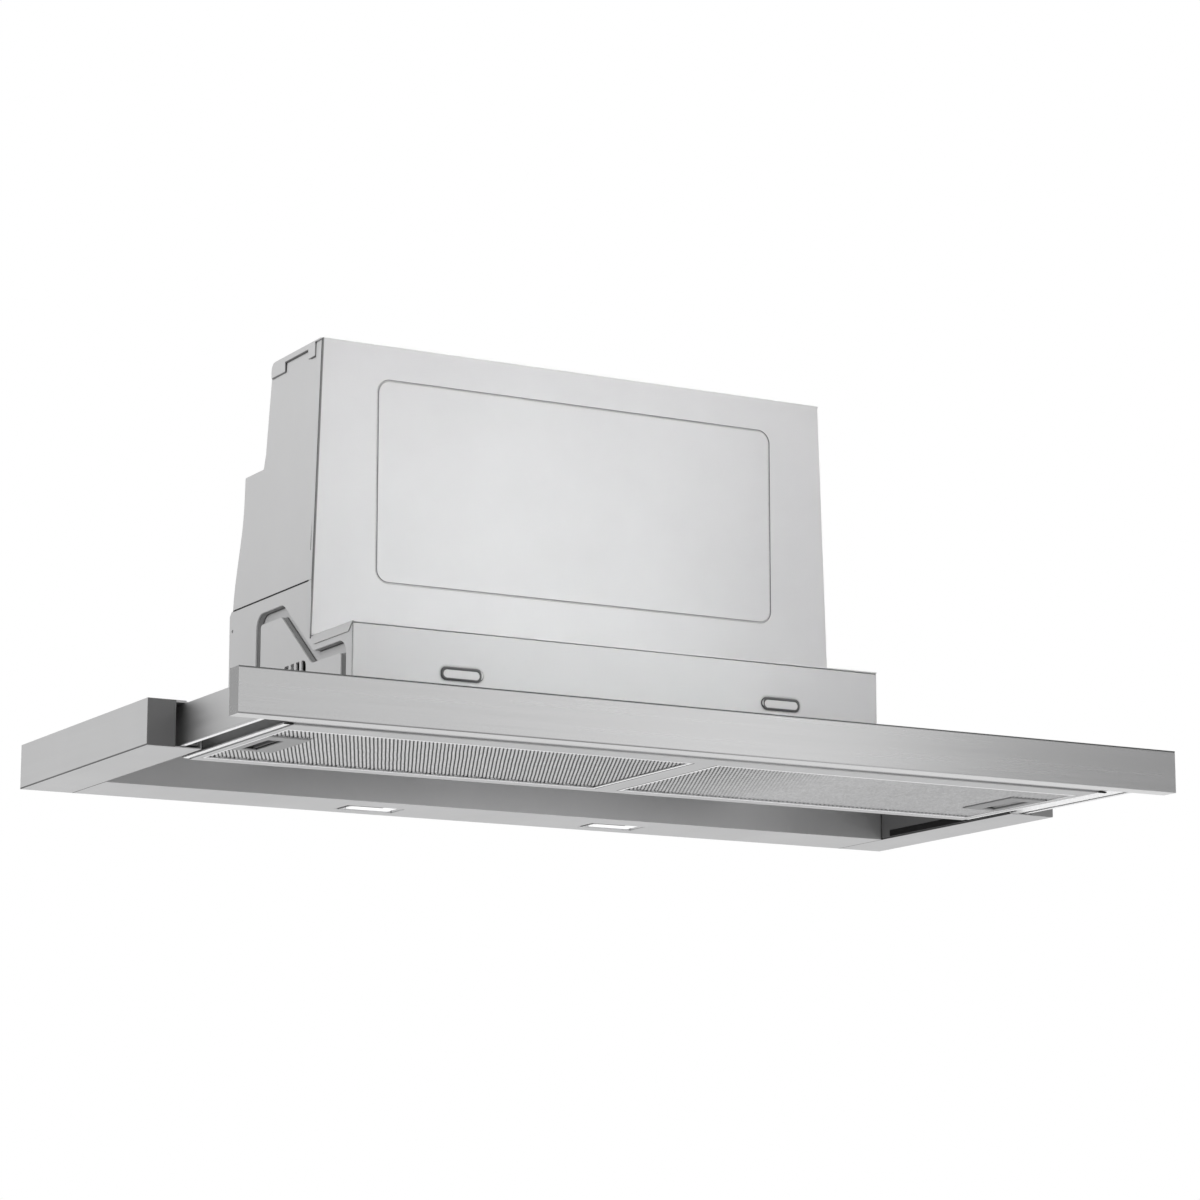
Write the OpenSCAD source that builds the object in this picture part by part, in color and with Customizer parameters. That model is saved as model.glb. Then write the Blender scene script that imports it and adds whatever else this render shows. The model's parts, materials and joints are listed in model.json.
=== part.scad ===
/* [Base] */
// Width across the base and the front panel
hood_w = 898; // [880:1:1000]
// Depth of the fixed base
base_depth = 290; // [286:1:310]
// Height of the fixed base
base_h = 39; // [39:0.5:44]
// Thickness of the folded sheet
sheet = 1; // [0.8:0.1:1]
// Width of the lip under each side member
lip_w = 48; // [46:0.5:52]
// Depth of the rear strip that carries the lamps
rear_strip_d = 77.7; // [74:0.1:80]
// Width of the cap on each side member's front end
cap_w = 24; // [20:0.5:25]

/* [Lamps] */
// Distance of each lamp from the middle
lamp_x = 126; // [90:1:220]
// Distance of the lamps from the rear
lamp_y = 32; // [28:0.5:40]
// Width of a lamp opening
lamp_w = 58; // [50:1:62]
// Depth of a lamp opening
lamp_d = 30; // [24:1:32]

/* [Pull-out] */
// Travel of the pull-out, from closed to fully out
travel = 155; // [120:1:160]
// Gap between the base and the closed front panel
close_gap = 11; // [10:0.5:16]
// Height of the front panel
panel_h = 37.2; // [36:0.1:38]
// Thickness of the front panel
panel_t = 17.5; // [16:0.5:24]
// Width left between upstand and side channel for a rail
rail_bay = 15; // [14.5:0.1:15.5]
// Top of the side channels above the underside
channel_top = 36; // [35.5:0.1:36]
// Height of the tray that holds the filters
tray_h = 12; // [11:0.5:14]
// Width of the tray's front border
tray_front_w = 23; // [18:1:26]
// Width of the tray's rear border
tray_rear_w = 13; // [10:0.5:16]
// Width of the tray's side borders
tray_side_w = 5.2; // [5:0.1:8]
// Width of the bar between the filters
tray_bar_w = 21; // [18:1:30]

/* [Filters] */
// Height of a filter's edge frame
filter_h = 9; // [8.5:0.1:9.5]
// Distance from one mesh fold to the next
mesh_pitch = 4.4; // [4:0.1:9]
// Height of the mesh folds
mesh_fold_h = 3.2; // [2.5:0.1:3.6]
// Length of a grip plate along the filter's outer end
grip_w = 76; // [66:1:90]
// Width of a grip plate
grip_d = 38.3; // [37:0.1:50]

/* [Lower housing] */
// Width of the lower housing
house_w = 524; // [500:1:540]
// Distance of the lower housing's rear wall from the rear
house_rear = 19.5; // [16:0.5:20]
// Distance of the lower housing's front from the base's front
house_setback = 9; // [8:0.5:14]
// Top of the front box
box_top = 121.3; // [119:0.1:130]
// Top of the lower housing behind the front box
house_top = 171.3; // [168:0.1:178]
// Wall of the moulded housings
wall = 1.6; // [1.2:0.1:1.8]
// Height of the front box lid's side flange
lid_flange_h = 8; // [7:0.5:10]

/* [Upper housing] */
// Top of the upper housing
hood_top = 387.5; // [380:0.5:395]
// Distance of the upper front face from the rear
upper_front = 197.3; // [196:0.1:200]
// Half width of the upper front face at its foot
upper_foot_x = 263.5; // [263:0.1:266]
// Half width of the upper front face at its top
upper_top_x = 255.6; // [250:0.1:260]
// Height of the shelf at the back of the upper housing
shelf_z = 292; // [288:0.5:296]
// Distance of the shelf's rear edge from the rear
shelf_rear = 41; // [38:0.5:42]
// Distance of the neck above the shelf from the rear
neck_rear = 81; // [74:0.5:82]
// Distance of the top's rear edge from the rear
top_rear = 91.5; // [90:0.5:99]
// Width of the outlined field on the front
field_w = 405; // [360:1:440]
// Height of the outlined field on the front
field_h = 183.5; // [150:0.1:190]
// Foot of the outlined field
field_z = 173.8; // [170:0.1:190]
// Corner radius of the outlined field
field_r = 12.5; // [6:0.5:20]

/* [Outlet] */
// Clear radius of the outlet
outlet_r = 72; // [70:0.5:72]
// Distance of the outlet's axis from the rear
outlet_y = 116.5; // [116:0.1:117]
// Height of the outlet's rim above the top
outlet_rim = 2; // [1:0.5:6]

/* [Blower] */
// Distance of the fan axis from the rear
fan_y = 114; // [113:0.5:115]
// Height from the fan axis up to the top
fan_drop = 156; // [156:0.5:158]
// Outer radius of the impeller
fan_r = 58; // [54:0.5:58]
// Half length of the impeller
fan_half_l = 64; // [56:1:64]
// Number of impeller blades
blades = 32; // [20:1:36]
// Radius of the motor
motor_r = 36; // [30:0.5:38]

/* [Side recess] */
// Width of the channel sunk into each side of the lower housing
recess_w = 10.4; // [8:0.2:12]
// Depth of the channel
recess_d = 11.6; // [9:0.2:12]
// Bend radius along the middle of the channel
recess_r = 8.5; // [8:0.5:10]

/* [Hidden] */
$fn = 48;

// Overrun of a cut past the face it opens
cut = 0.5;
// Gap between pieces that are fastened together but don't touch
seat = 0.3;
// Running gap of a pin in its bore
pin_gap = 0.08;
// Gap under what slides over the side lips
slide_gap = 0.4;
// Gap at the end of the pull-out's inward travel
stop_gap = 0.7;

// Places across the hood
half_w = hood_w / 2;
lip_in = half_w - lip_w;
upstand_gap = 11.5;
channel_in = lip_in - upstand_gap - sheet;
channel_out = lip_in + sheet + rail_bay + sheet;

// Side members: their inner upstand and top flange
upstand_h = 31;
top_flange_w = 34;
cap_face_t = 3;
cap_plug_d = 8;

// Deck under the top flanges, with the air opening into the housing
deck_z = base_h - 2 * sheet;
deck_open_front = 22;
deck_open_rear = 28;
deck_open_side = 12;
deck_hole_r = 2.75;
deck_hole_x = 330;
deck_hole_front = 80;
deck_hole_rear = 180;

// Lamp tray and lens
lamp_rim = 2.5;
lamp_tray_h = 15;
lamp_tray_t = 1.2;
lamp_bevel = 3;
lens_t = 2;
lens_z = 3;

// Pull-out: places front to rear when it is closed
tray_gap = 0.8;
panel_rear = base_depth + close_gap;
panel_front = panel_rear + panel_t;
cross_rail_d = 15;
cross_rail_z = 1.5;
tray_front = panel_rear - cross_rail_d;
tray_rear = rear_strip_d + stop_gap;
tray_half_w = channel_in - tray_gap;
tray_wall = 1.5;
tray_floor = 1.2;
tray_open_front = tray_front - tray_front_w;
tray_open_rear = tray_rear + tray_rear_w;
tray_open_out = tray_half_w - tray_side_w;
channel_foot = sheet + slide_gap;
channel_foot_in_w = 5.5;
channel_foot_out_w = 2;
panel_skin = 1.2;
panel_back_t = 1;
panel_lip = 6;
whole_depth = panel_front + travel;

// Rails: plain lipped sections with a row of balls above and below
rail_t = 1.2;
rail_z = 3.5;
rail_h = 27;
rail_lip = 9;
moving_rail_inset = 5;
moving_rail_lip = 10;
rail_end_gap = 5;
rail_rear_gap = 10;
ball_gap = 0.3;
ball_r = (moving_rail_inset - rail_t) / 2 - ball_gap;
ball_count = 5;
ball_pitch = 11;
cage_t = 0.6;
cage_web = 2.4;
cage_lip = 6.1;
cage_overlap = 2;
cage_l = 47.6;
rail_in = lip_in + sheet;

// Filters: places when the pull-out is closed
filter_gap = 0.7;
filter_end_gap = 1.5;
filter_in = tray_bar_w / 2 + filter_end_gap;
filter_out = tray_open_out - filter_gap;
filter_front = tray_open_front - filter_gap;
filter_rear = tray_open_rear + filter_gap;
filter_mid = (filter_front + filter_rear) / 2;
filter_edge = 1.2;
filter_lip = 2.5;
filter_lip_t = 1;
pivot_inset = 3;
pivot_x = filter_in + pivot_inset;
pivot_z = 3;
pivot_r = 1.5;
pivot_depth = 1.2;
stop_strip_in = 200;
stop_strip_w = 4;
stop_strip_t = 1.5;
mesh_t = 0.6;
mesh_z = filter_lip_t + 0.2 * mesh_t;

// Grip plate with a finger opening, and the latch behind it
grip_out = filter_out - filter_edge;
grip_in = grip_out - grip_d;
grip_floor = 1.2;
grip_z = 0.2;
grip_wall = 1.2;
grip_open_w = 54;
grip_open_d = 14;
grip_open_out = 7.5;
grip_shift = 4.5;
grip_slope_w = 5;
grip_slope_t = 0.8;
latch_z = 5.5;
latch_t = 1.5;
latch_finger_t = 1.5;
latch_w = 56;
tongue_w = 20;
tongue_gap = 0.4;
tongue_reach = 2;

// Controls on the cross rail, behind the front panel
control_w = 150;
control_inset = 57.7;
control_x = tray_half_w - control_inset - control_w;
control_d = 20;
control_z = tray_h + seat;
button_w = 16;
button_d = 8;
button_r = 1.5;
button_gap = 0.3;
button_pitch = 26;
button_rise = 0.4;
button_h = 6;
button_foot_w = 1.2;
button_foot_t = 1.2;
control_skin = 1.5;

// Lower housing and its covers
house_x = house_w / 2;
house_front = base_depth - house_setback;
cover_t = 1.2;
cover_gap = 1;
cover_return_t = 1;
cover_return_d = 6;
house_bevel = 4;
lid_t = 1.2;
lid_flange_t = 0.8;
lid_slope = 9;
lid_rear_gap = 6;
lid_front_gap = 0.8;
foot_flange_w = 13;
foot_flange_t = 1.2;
window_front = 186;
window_rear = 141;
window_foot = 52;
window_top = 102.7;
window_r = 6;
window_bars = 3;
window_bar_w = 4.5;
side_hole_r = 1.6;
side_hole_y = 26;
side_hole_z = 153;
tab_x = 159;
tab_w = 38;
tab_h = 8;
tab_z = 83.5;
tab_rise = 1.6;
tab_groove_w = 0.9;
tab_groove_d = 0.6;

// Side recess: a channel that runs up, across, down into a valley and along
recess_rear = 84;
recess_high = 153.6;
recess_crest = 135;
recess_valley = 199.4;
recess_low = 102.8;
recess_front = 262;
recess_foot = 48;
recess_t = 1.2;

// Upper housing, its covers and the groove round the field
seam = 0.3;
upper_z = house_top + seam;
upper_cover_z = box_top + seam;
foot_rear = 26.5;
curve_z = 265;
curve_steps = 8;
neck_rise = 13;
neck_in = 3.7;
groove_w = 1.8;
groove_d = 0.6;
corner_hole_r = 1.8;
cover_plate_t = 1.2;
shadow_gap = 1.5;
shaft_front = upper_front - cover_plate_t + seat - shadow_gap;
top_flange_t = 0.8;
top_flange_h = 4.9;
top_hook_h = 13.7;
top_hook_rear = 29.5;
top_hook_front_0 = 170;
top_hook_front_1 = 184;
top_corner_r = 7;
side_groove_y = 190.6;
side_groove_z0 = 198;
side_groove_z1 = 224;
side_groove_w = 1.2;

// Outlet tube, its flaps and their pin
tube_t = 2;
tube_gap = 0.4;
socket_step = 0.6;
tube_l = 49.2;
tube_foot = hood_top - tube_l;
tube_foot_t = 1.2;
ledge_w = 4;
ledge_t = 1.2;
flap_t = 1.2;
flap_rise = 12.7;
flap_z = tube_foot + flap_rise;
flap_gap = 1.2;
socket_rise = 7;
socket_z = flap_z + socket_rise;
flap_pin_r = 1.5;
knuckle_r = 2.8;
knuckle_l = 14;
knuckle_gap = 0.4;
knuckle_pairs = 3;
bulge_wall = 1.6;

// Scroll housing
fan_z = hood_top - fan_drop;
scroll_start = 64;
scroll_end = 76;
scroll_cutoff = 70;
scroll_sweep = 250;
scroll_steps = 20;
scroll_half_l = 68;
scroll_wall = 1.5;
scroll_top = tube_foot - seat;
scroll_rear_y = 94;
scroll_inlet_r = 50;
scroll_hole_r = 64;

// Impeller, motor and mount
fan_in_share = 0.81;
blade_t = 0.9;
blade_inset = 0.8;
blade_lean = 22;
blade_bow_share = 0.16;
fan_ring_t = 1.5;
fan_disc_x = 5;
fan_disc_t = 2;
hub_r = 9;
hub_l = 14;
shaft_r = 4;
shaft_gap = 0.05;
motor_x0 = -66;
motor_x1 = -8;
mount_t = 2.6;
mount_arm_w = 10;
mount_ring_w = 7;

// Electrical pieces in the front box
module_x0 = 140;
module_x1 = 240;
module_front = 275;
module_rear = 215;
module_h = 34;
capacitor_r = 15;
capacitor_l = 60;
capacitor_x = 112;
capacitor_strap_w = 12;
gland_x = 190;
gland_z = 150;
gland_r = 9;
gland_neck_r = 6;
gland_bore_r = 3.6;
gland_flange_t = 3;
gland_nose_l = 11;
screw_r = 4;
screw_h = 2.2;
screw_inset = 11;

function unit(v) = v / norm(v);
function left_of(v) = [-v[1], v[0]];
function turned(v, a) = [v[0] * cos(a) - v[1] * sin(a), v[0] * sin(a) + v[1] * cos(a)];
function polar(c, r, a) = c + r * [cos(a), sin(a)];
function reversed(p) = [for (i = [len(p) - 1:-1:0]) p[i]];

// Arc of radius r that rounds the corner b between a and c
function bend(a, b, c, r, n) =
    let (u = unit(a - b), w = unit(c - b), h = acos(u * w) / 2)
    let (m = b + unit(u + w) * r / sin(h), s = b + u * r / tan(h) - m)
    let (way = u[0] * w[1] - u[1] * w[0] > 0 ? -1 : 1)
    [for (i = [0:n]) m + turned(s, way * (180 - 2 * h) * i / n)];

// Open path with its inner corners rounded
function bent(p, r, n) = concat([p[0]],
    [for (i = [1:len(p) - 2]) each bend(p[i - 1], p[i], p[i + 1], r, n)], [p[len(p) - 1]]);

// Path moved d to its left, with mitred corners
function beside(p, d) = [for (i = [0:len(p) - 1])
    let (f = i > 0 ? unit(p[i] - p[i - 1]) : unit(p[1] - p[0]))
    let (g = i < len(p) - 1 ? unit(p[i + 1] - p[i]) : f, m = unit(f + g))
    p[i] + left_of(m) * d / (m * f)];

// Sheet of thickness t folded along a path, on the path's left
function folded(p, t) = concat(p, reversed(beside(p, t)));

// Band of width w along an open path
function band(p, w) = concat(beside(p, w / 2), reversed(beside(p, -w / 2)));

// Box between two corners
module slab(lo, hi) {
    translate(lo) cube(hi - lo);
}

// Profile drawn in X and Z, extruded between two places in Y
module along_y(y0, y1) {
    translate([0, y1, 0]) rotate([90, 0, 0]) linear_extrude(y1 - y0) children();
}

// Profile drawn in Y and Z, extruded between two places in X
module along_x(x0, x1) {
    translate([x0, 0, 0]) rotate([90, 0, 90]) linear_extrude(x1 - x0) children();
}

module on_side(side) {
    if (side < 0) mirror([1, 0, 0]) children();
    else children();
}

module drawn_out() {
    translate([0, -travel, 0]) children();
}

// The frame's origin is under the middle of the pulled-out hood
module placed() {
    translate([0, whole_depth / 2, 0]) children();
}

// Rectangle with true round corners, from its lower left corner
module round_rect(w, h, r) {
    translate([r, 0]) square([w - 2 * r, h]);
    translate([0, r]) square([w, h - 2 * r]);
    for (x = [r, w - r], y = [r, h - r]) translate([x, y]) circle(r);
}

module side_member(side) {
    color("silver") on_side(side) along_y(-base_depth, 0) polygon(folded([
        [lip_in, upstand_h], [lip_in, 0], [half_w, 0], [half_w, base_h],
        [half_w - top_flange_w, base_h]], sheet));
}

module end_cap(side) {
    x1 = half_w - sheet;
    x0 = x1 - cap_w;
    z0 = sheet;
    z1 = base_h - 2 * sheet;
    color("dimgray") on_side(side) difference() {
        union() {
            slab([x0, -base_depth, z0], [x1, -base_depth + cap_face_t, z1]);
            slab([x0 + sheet, -base_depth, z0], [x1, -base_depth + cap_face_t + cap_plug_d, z1 - sheet]);
        }
        slab([x0 + 2 * sheet, -base_depth + cap_face_t, z0 + sheet],
            [x1 - sheet, -base_depth + cap_face_t + cap_plug_d + cut, z1 - 2 * sheet]);
    }
}

module rear_strip() {
    x = lip_in - seat;
    color("silver") difference() {
        along_x(-x, x) polygon(folded([[0, deck_z], [0, 0], [-rear_strip_d, 0],
            [-rear_strip_d, deck_z]], -sheet));
        for (s = [-1, 1]) translate([s * lamp_x, -lamp_y, 0])
            slab([-lamp_w / 2, -lamp_d / 2, -cut], [lamp_w / 2, lamp_d / 2, sheet + cut]);
    }
}

module base_deck() {
    x = half_w - sheet;
    open_x = house_x - deck_open_side;
    color("lightgray") difference() {
        slab([-x, -base_depth, deck_z], [x, 0, deck_z + sheet]);
        slab([-open_x, -house_front + deck_open_front, deck_z - cut],
            [open_x, -deck_open_rear, deck_z + sheet + cut]);
        for (s = [-1, 1], y = [deck_hole_front, deck_hole_rear])
            translate([s * deck_hole_x, -base_depth + y, deck_z - cut])
                cylinder(r = deck_hole_r, h = sheet + 2 * cut);
    }
}

module lamp_tray(side) {
    w = lamp_w / 2 + lamp_rim;
    d = lamp_d / 2 + lamp_rim;
    color("whitesmoke") translate([side * lamp_x, -lamp_y, sheet]) difference() {
        slab([-w, -d, 0], [w, d, lamp_tray_h]);
        slab([-lamp_w / 2, -lamp_d / 2, -cut],
            [lamp_w / 2, lamp_d / 2, lens_z - sheet]);
        slab([-lamp_w / 2 + lamp_bevel, -lamp_d / 2 + lamp_bevel, -cut],
            [lamp_w / 2 - lamp_bevel, lamp_d / 2 - lamp_bevel, lamp_tray_h - lamp_tray_t]);
    }
}

module lamp_lens(side) {
    w = lamp_w / 2 - lamp_bevel - seat;
    d = lamp_d / 2 - lamp_bevel - seat;
    color("white") translate([side * lamp_x, -lamp_y, lens_z])
        slab([-w, -d, 0], [w, d, lens_t]);
}

module fixed_rail(side) {
    x = rail_in + rail_t + rail_lip;
    color("gainsboro") on_side(side) along_y(-base_depth + rail_end_gap, -rail_rear_gap)
        polygon(folded([[x, rail_z], [rail_in, rail_z], [rail_in, rail_z + rail_h],
            [x, rail_z + rail_h]], -rail_t));
}

module moving_rail(side) {
    x1 = channel_out - sheet;
    x0 = x1 - moving_rail_lip;
    z0 = rail_z + moving_rail_inset;
    z1 = rail_z + rail_h - moving_rail_inset;
    color("gainsboro") drawn_out() on_side(side) along_y(-panel_rear + seat, -tray_rear)
        polygon(folded([[x0, z0], [x1, z0], [x1, z1], [x0, z1]], rail_t));
}

// The ball cage lies where the fixed and the moving rail overlap
module ball_cage(side) {
    y0 = -base_depth + rail_end_gap + cage_overlap;
    mid = y0 + cage_l / 2;
    x0 = rail_in + cage_web;
    x1 = x0 + cage_lip;
    za = rail_z + rail_t + ball_gap + ball_r;
    zb = rail_z + rail_h - rail_t - ball_gap - ball_r;
    color("darkgray") on_side(side) {
        along_y(y0, y0 + cage_l) polygon(folded([[x1, za - cage_t / 2],
            [x0, za - cage_t / 2], [x0, zb + cage_t / 2], [x1, zb + cage_t / 2]], -cage_t));
        for (z = [za, zb], i = [0:ball_count - 1])
            translate([(x0 + cage_t + x1) / 2, mid + (i - (ball_count - 1) / 2) * ball_pitch, z])
                sphere(ball_r);
    }
}

module tray_channel(side) {
    color("silver") drawn_out() on_side(side) along_y(-panel_rear, -tray_rear)
        polygon(folded([[channel_in + channel_foot_in_w, channel_foot], [channel_in, channel_foot],
            [channel_in, channel_top], [channel_out, channel_top], [channel_out, channel_foot + sheet],
            [channel_out + channel_foot_out_w, channel_foot + sheet]], -sheet));
}

module front_panel() {
    color("lightgray") drawn_out() difference() {
        slab([-half_w, -panel_front, 0], [half_w, -panel_rear, panel_h]);
        slab([-half_w + panel_skin, -panel_front + panel_skin, panel_skin],
            [half_w - panel_skin, -panel_rear + cut, panel_h - panel_skin]);
    }
}

module panel_back() {
    x = half_w - panel_skin;
    z = panel_h - panel_skin;
    color("gray") drawn_out() difference() {
        slab([-x, -panel_rear - panel_lip, panel_skin], [x, -panel_rear, z]);
        slab([-x + panel_back_t, -panel_rear - panel_lip - cut, panel_skin + panel_back_t],
            [x - panel_back_t, -panel_rear - panel_back_t, z - panel_back_t]);
    }
}

module cross_rail() {
    color("silver") drawn_out() along_x(-tray_half_w, tray_half_w)
        polygon(folded([[-panel_rear, tray_h], [-panel_rear, cross_rail_z],
            [-tray_front - seat, cross_rail_z], [-tray_front - seat, tray_h]], sheet));
}

// One filter opening, for the right side; both pockets are open above
module tray_opening(side) {
    on_side(side) {
        slab([tray_bar_w / 2, -tray_open_front, -cut], [tray_open_out, -tray_open_rear, tray_h + cut]);
        translate([pivot_x, -tray_open_front - tray_wall - cut, pivot_z]) rotate([-90, 0, 0])
            cylinder(r = pivot_r + pin_gap, h = tray_wall + 2 * cut);
        translate([pivot_x, -tray_open_rear - cut, pivot_z]) rotate([-90, 0, 0])
            cylinder(r = pivot_r + pin_gap, h = tray_wall + 2 * cut);
        slab([tray_open_out - cut, -filter_mid - tongue_w / 2 - tongue_gap, latch_z - tongue_gap],
            [tray_open_out + tray_wall + cut, -filter_mid + tongue_w / 2 + tongue_gap,
            latch_z + latch_t + tongue_gap]);
    }
}

module filter_tray() {
    pocket_in = tray_bar_w / 2 - tray_wall;
    pocket_out = tray_half_w - tray_wall;
    color("lightgray") drawn_out() {
        difference() {
            slab([-tray_half_w, -tray_front, 0], [tray_half_w, -tray_rear, tray_h]);
            for (s = [-1, 1]) tray_opening(s);
            slab([-pocket_out, -tray_front + tray_wall, tray_floor],
                [pocket_out, -tray_open_front - tray_wall, tray_h + cut]);
            slab([-pocket_out, -tray_open_rear + tray_wall, tray_floor],
                [pocket_out, -tray_rear - tray_wall, tray_h + cut]);
            slab([-pocket_in, -tray_open_front - tray_wall - cut, tray_floor],
                [pocket_in, -tray_open_rear + tray_wall + cut, tray_h + cut]);
            for (s = [-1, 1]) on_side(s)
                slab([tray_open_out + tray_wall, -tray_open_front - tray_wall - cut, tray_floor],
                    [pocket_out, -tray_open_rear + tray_wall + cut, tray_h + cut]);
        }
        for (s = [-1, 1]) on_side(s) for (y = [-tray_open_front, -tray_open_rear - stop_strip_w])
            slab([stop_strip_in, y, filter_h + seat],
                [tray_open_out, y + stop_strip_w, filter_h + seat + stop_strip_t]);
    }
}

module filter_frame(side) {
    color("gainsboro") drawn_out() on_side(side) {
        difference() {
            slab([filter_in, -filter_front, 0], [filter_out, -filter_rear, filter_h]);
            slab([filter_in + filter_edge, -filter_front + filter_edge, filter_lip_t],
                [filter_out - filter_edge, -filter_rear - filter_edge, filter_h + cut]);
            slab([filter_in + filter_lip, -filter_front + filter_lip, -cut],
                [filter_out - filter_edge, -filter_rear - filter_lip, filter_h]);
            slab([filter_out - filter_edge - cut, -filter_mid - tongue_w / 2 - tongue_gap,
                latch_z - tongue_gap], [filter_out + cut, -filter_mid + tongue_w / 2 + tongue_gap,
                latch_z + latch_t + tongue_gap]);
        }
        for (y = [-filter_front - filter_gap - pivot_depth, -filter_rear])
            translate([pivot_x, y, pivot_z]) rotate([-90, 0, 0])
                cylinder(r = pivot_r, h = pivot_depth + filter_gap);
    }
}

module filter_mesh(side) {
    x0 = filter_in + filter_edge + seat;
    x1 = filter_out - filter_edge - seat;
    folds = floor((x1 - x0) / mesh_pitch);
    step = (x1 - x0) / folds;
    crest = mesh_z + mesh_fold_h;
    ridge = [for (i = [0:2 * folds]) [x0 + i * step / 2, i % 2 == 0 ? mesh_z : crest]];
    color("darkgray") drawn_out() on_side(side) difference() {
        along_y(-filter_front + filter_edge + seat, -filter_rear - filter_edge - seat)
            polygon(concat(ridge, reversed([for (p = ridge) p + [0, mesh_t]])));
        slab([grip_in - seat, -filter_mid - grip_shift - grip_w / 2 - seat, 0],
            [x1 + cut, -filter_mid - grip_shift + grip_w / 2 + seat, filter_h]);
    }
}

// Shallow box with a finger opening, and a sloped wall beyond the opening
module filter_grip(side) {
    y0 = -filter_mid - grip_shift - grip_w / 2;
    y1 = -filter_mid - grip_shift + grip_w / 2;
    open_x = grip_out - grip_open_out;
    floor_z = grip_z + grip_floor;
    color("gray") drawn_out() on_side(side) {
        difference() {
            slab([grip_in, y0, grip_z], [grip_out, y1, filter_h]);
            slab([grip_in + grip_wall, y0 + grip_wall, floor_z],
                [grip_out + cut, y1 - grip_wall, filter_h - grip_wall]);
            slab([open_x - grip_open_d, -filter_mid - grip_open_w / 2, grip_z - cut],
                [open_x, -filter_mid + grip_open_w / 2, floor_z + cut]);
        }
        along_y(-filter_mid - grip_open_w / 2, -filter_mid + grip_open_w / 2)
            polygon([[open_x, floor_z - grip_floor / 2], [open_x + grip_slope_t, floor_z - grip_floor / 2],
                [open_x + grip_slope_w + grip_slope_t, latch_z - seat],
                [open_x + grip_slope_w, latch_z - seat], [open_x, floor_z]]);
    }
}

// Latch plate with a finger wall on its inner edge and a tongue on its outer
module filter_latch(side) {
    x1 = grip_out - seat;
    x0 = grip_out - grip_open_out - grip_open_d + latch_finger_t;
    tip = tray_open_out + tongue_reach;
    color("dimgray") drawn_out() on_side(side) {
        slab([x0, -filter_mid - latch_w / 2, latch_z], [x1, -filter_mid + latch_w / 2, latch_z + latch_t]);
        slab([x0, -filter_mid - latch_w / 2, grip_z + grip_floor + seat],
            [x0 + latch_finger_t, -filter_mid + latch_w / 2, latch_z]);
        slab([x1, -filter_mid - tongue_w / 2, latch_z], [tip, -filter_mid + tongue_w / 2, latch_z + latch_t]);
    }
}

function button_x(i) = control_x + control_w / 2 + (i - 2) * button_pitch;

module control_housing() {
    y0 = -panel_rear + seat;
    y1 = y0 + control_d;
    color("dimgray") drawn_out() difference() {
        slab([control_x, y0, control_z], [control_x + control_w, y1, channel_top]);
        slab([control_x + control_skin, y0 + control_skin, control_z - cut],
            [control_x + control_w - control_skin, y1 - control_skin, channel_top - control_skin]);
        for (i = [0:4]) translate([button_x(i) - button_w / 2 - button_gap,
            y0 + control_d / 2 - button_d / 2 - button_gap, channel_top - control_skin - cut])
            linear_extrude(control_skin + 2 * cut)
                round_rect(button_w + 2 * button_gap, button_d + 2 * button_gap, button_r);
    }
}

module button(i) {
    y = -panel_rear + seat + control_d / 2;
    top = channel_top + button_rise;
    foot_top = channel_top - control_skin - button_gap;
    color("silver") drawn_out() {
        translate([button_x(i) - button_w / 2, y - button_d / 2, top - button_h])
            linear_extrude(button_h) round_rect(button_w, button_d, button_r);
        slab([button_x(i) - button_w / 2 - button_foot_w, y - button_d / 2 - button_foot_w,
            foot_top - button_foot_t], [button_x(i) + button_w / 2 + button_foot_w,
            y + button_d / 2 + button_foot_w, foot_top]);
    }
}

// Middle line of the side recess, its two ends e further down
function recess_path(e) = bent([[-recess_rear, recess_foot - e], [-recess_rear, recess_high],
    [-recess_crest, recess_high], [-recess_valley, recess_low], [-recess_front, recess_low],
    [-recess_front, recess_foot - e]], recess_r, 5);

// Window in the side of the lower housing, less its bars
module window_shape() {
    front = [-window_front, window_top];
    step = (window_front - window_rear) / (window_bars + 1);
    difference() {
        polygon(concat(bend([-window_front, window_foot], front, [-window_rear, window_top], window_r, 5),
            [[-window_rear, window_top], [-window_rear, window_foot], [-window_front, window_foot]]));
        for (i = [1:window_bars])
            translate([-window_front + i * step - window_bar_w / 2, window_foot - cut])
                square([window_bar_w, window_top - window_foot + 2 * cut]);
    }
}

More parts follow.
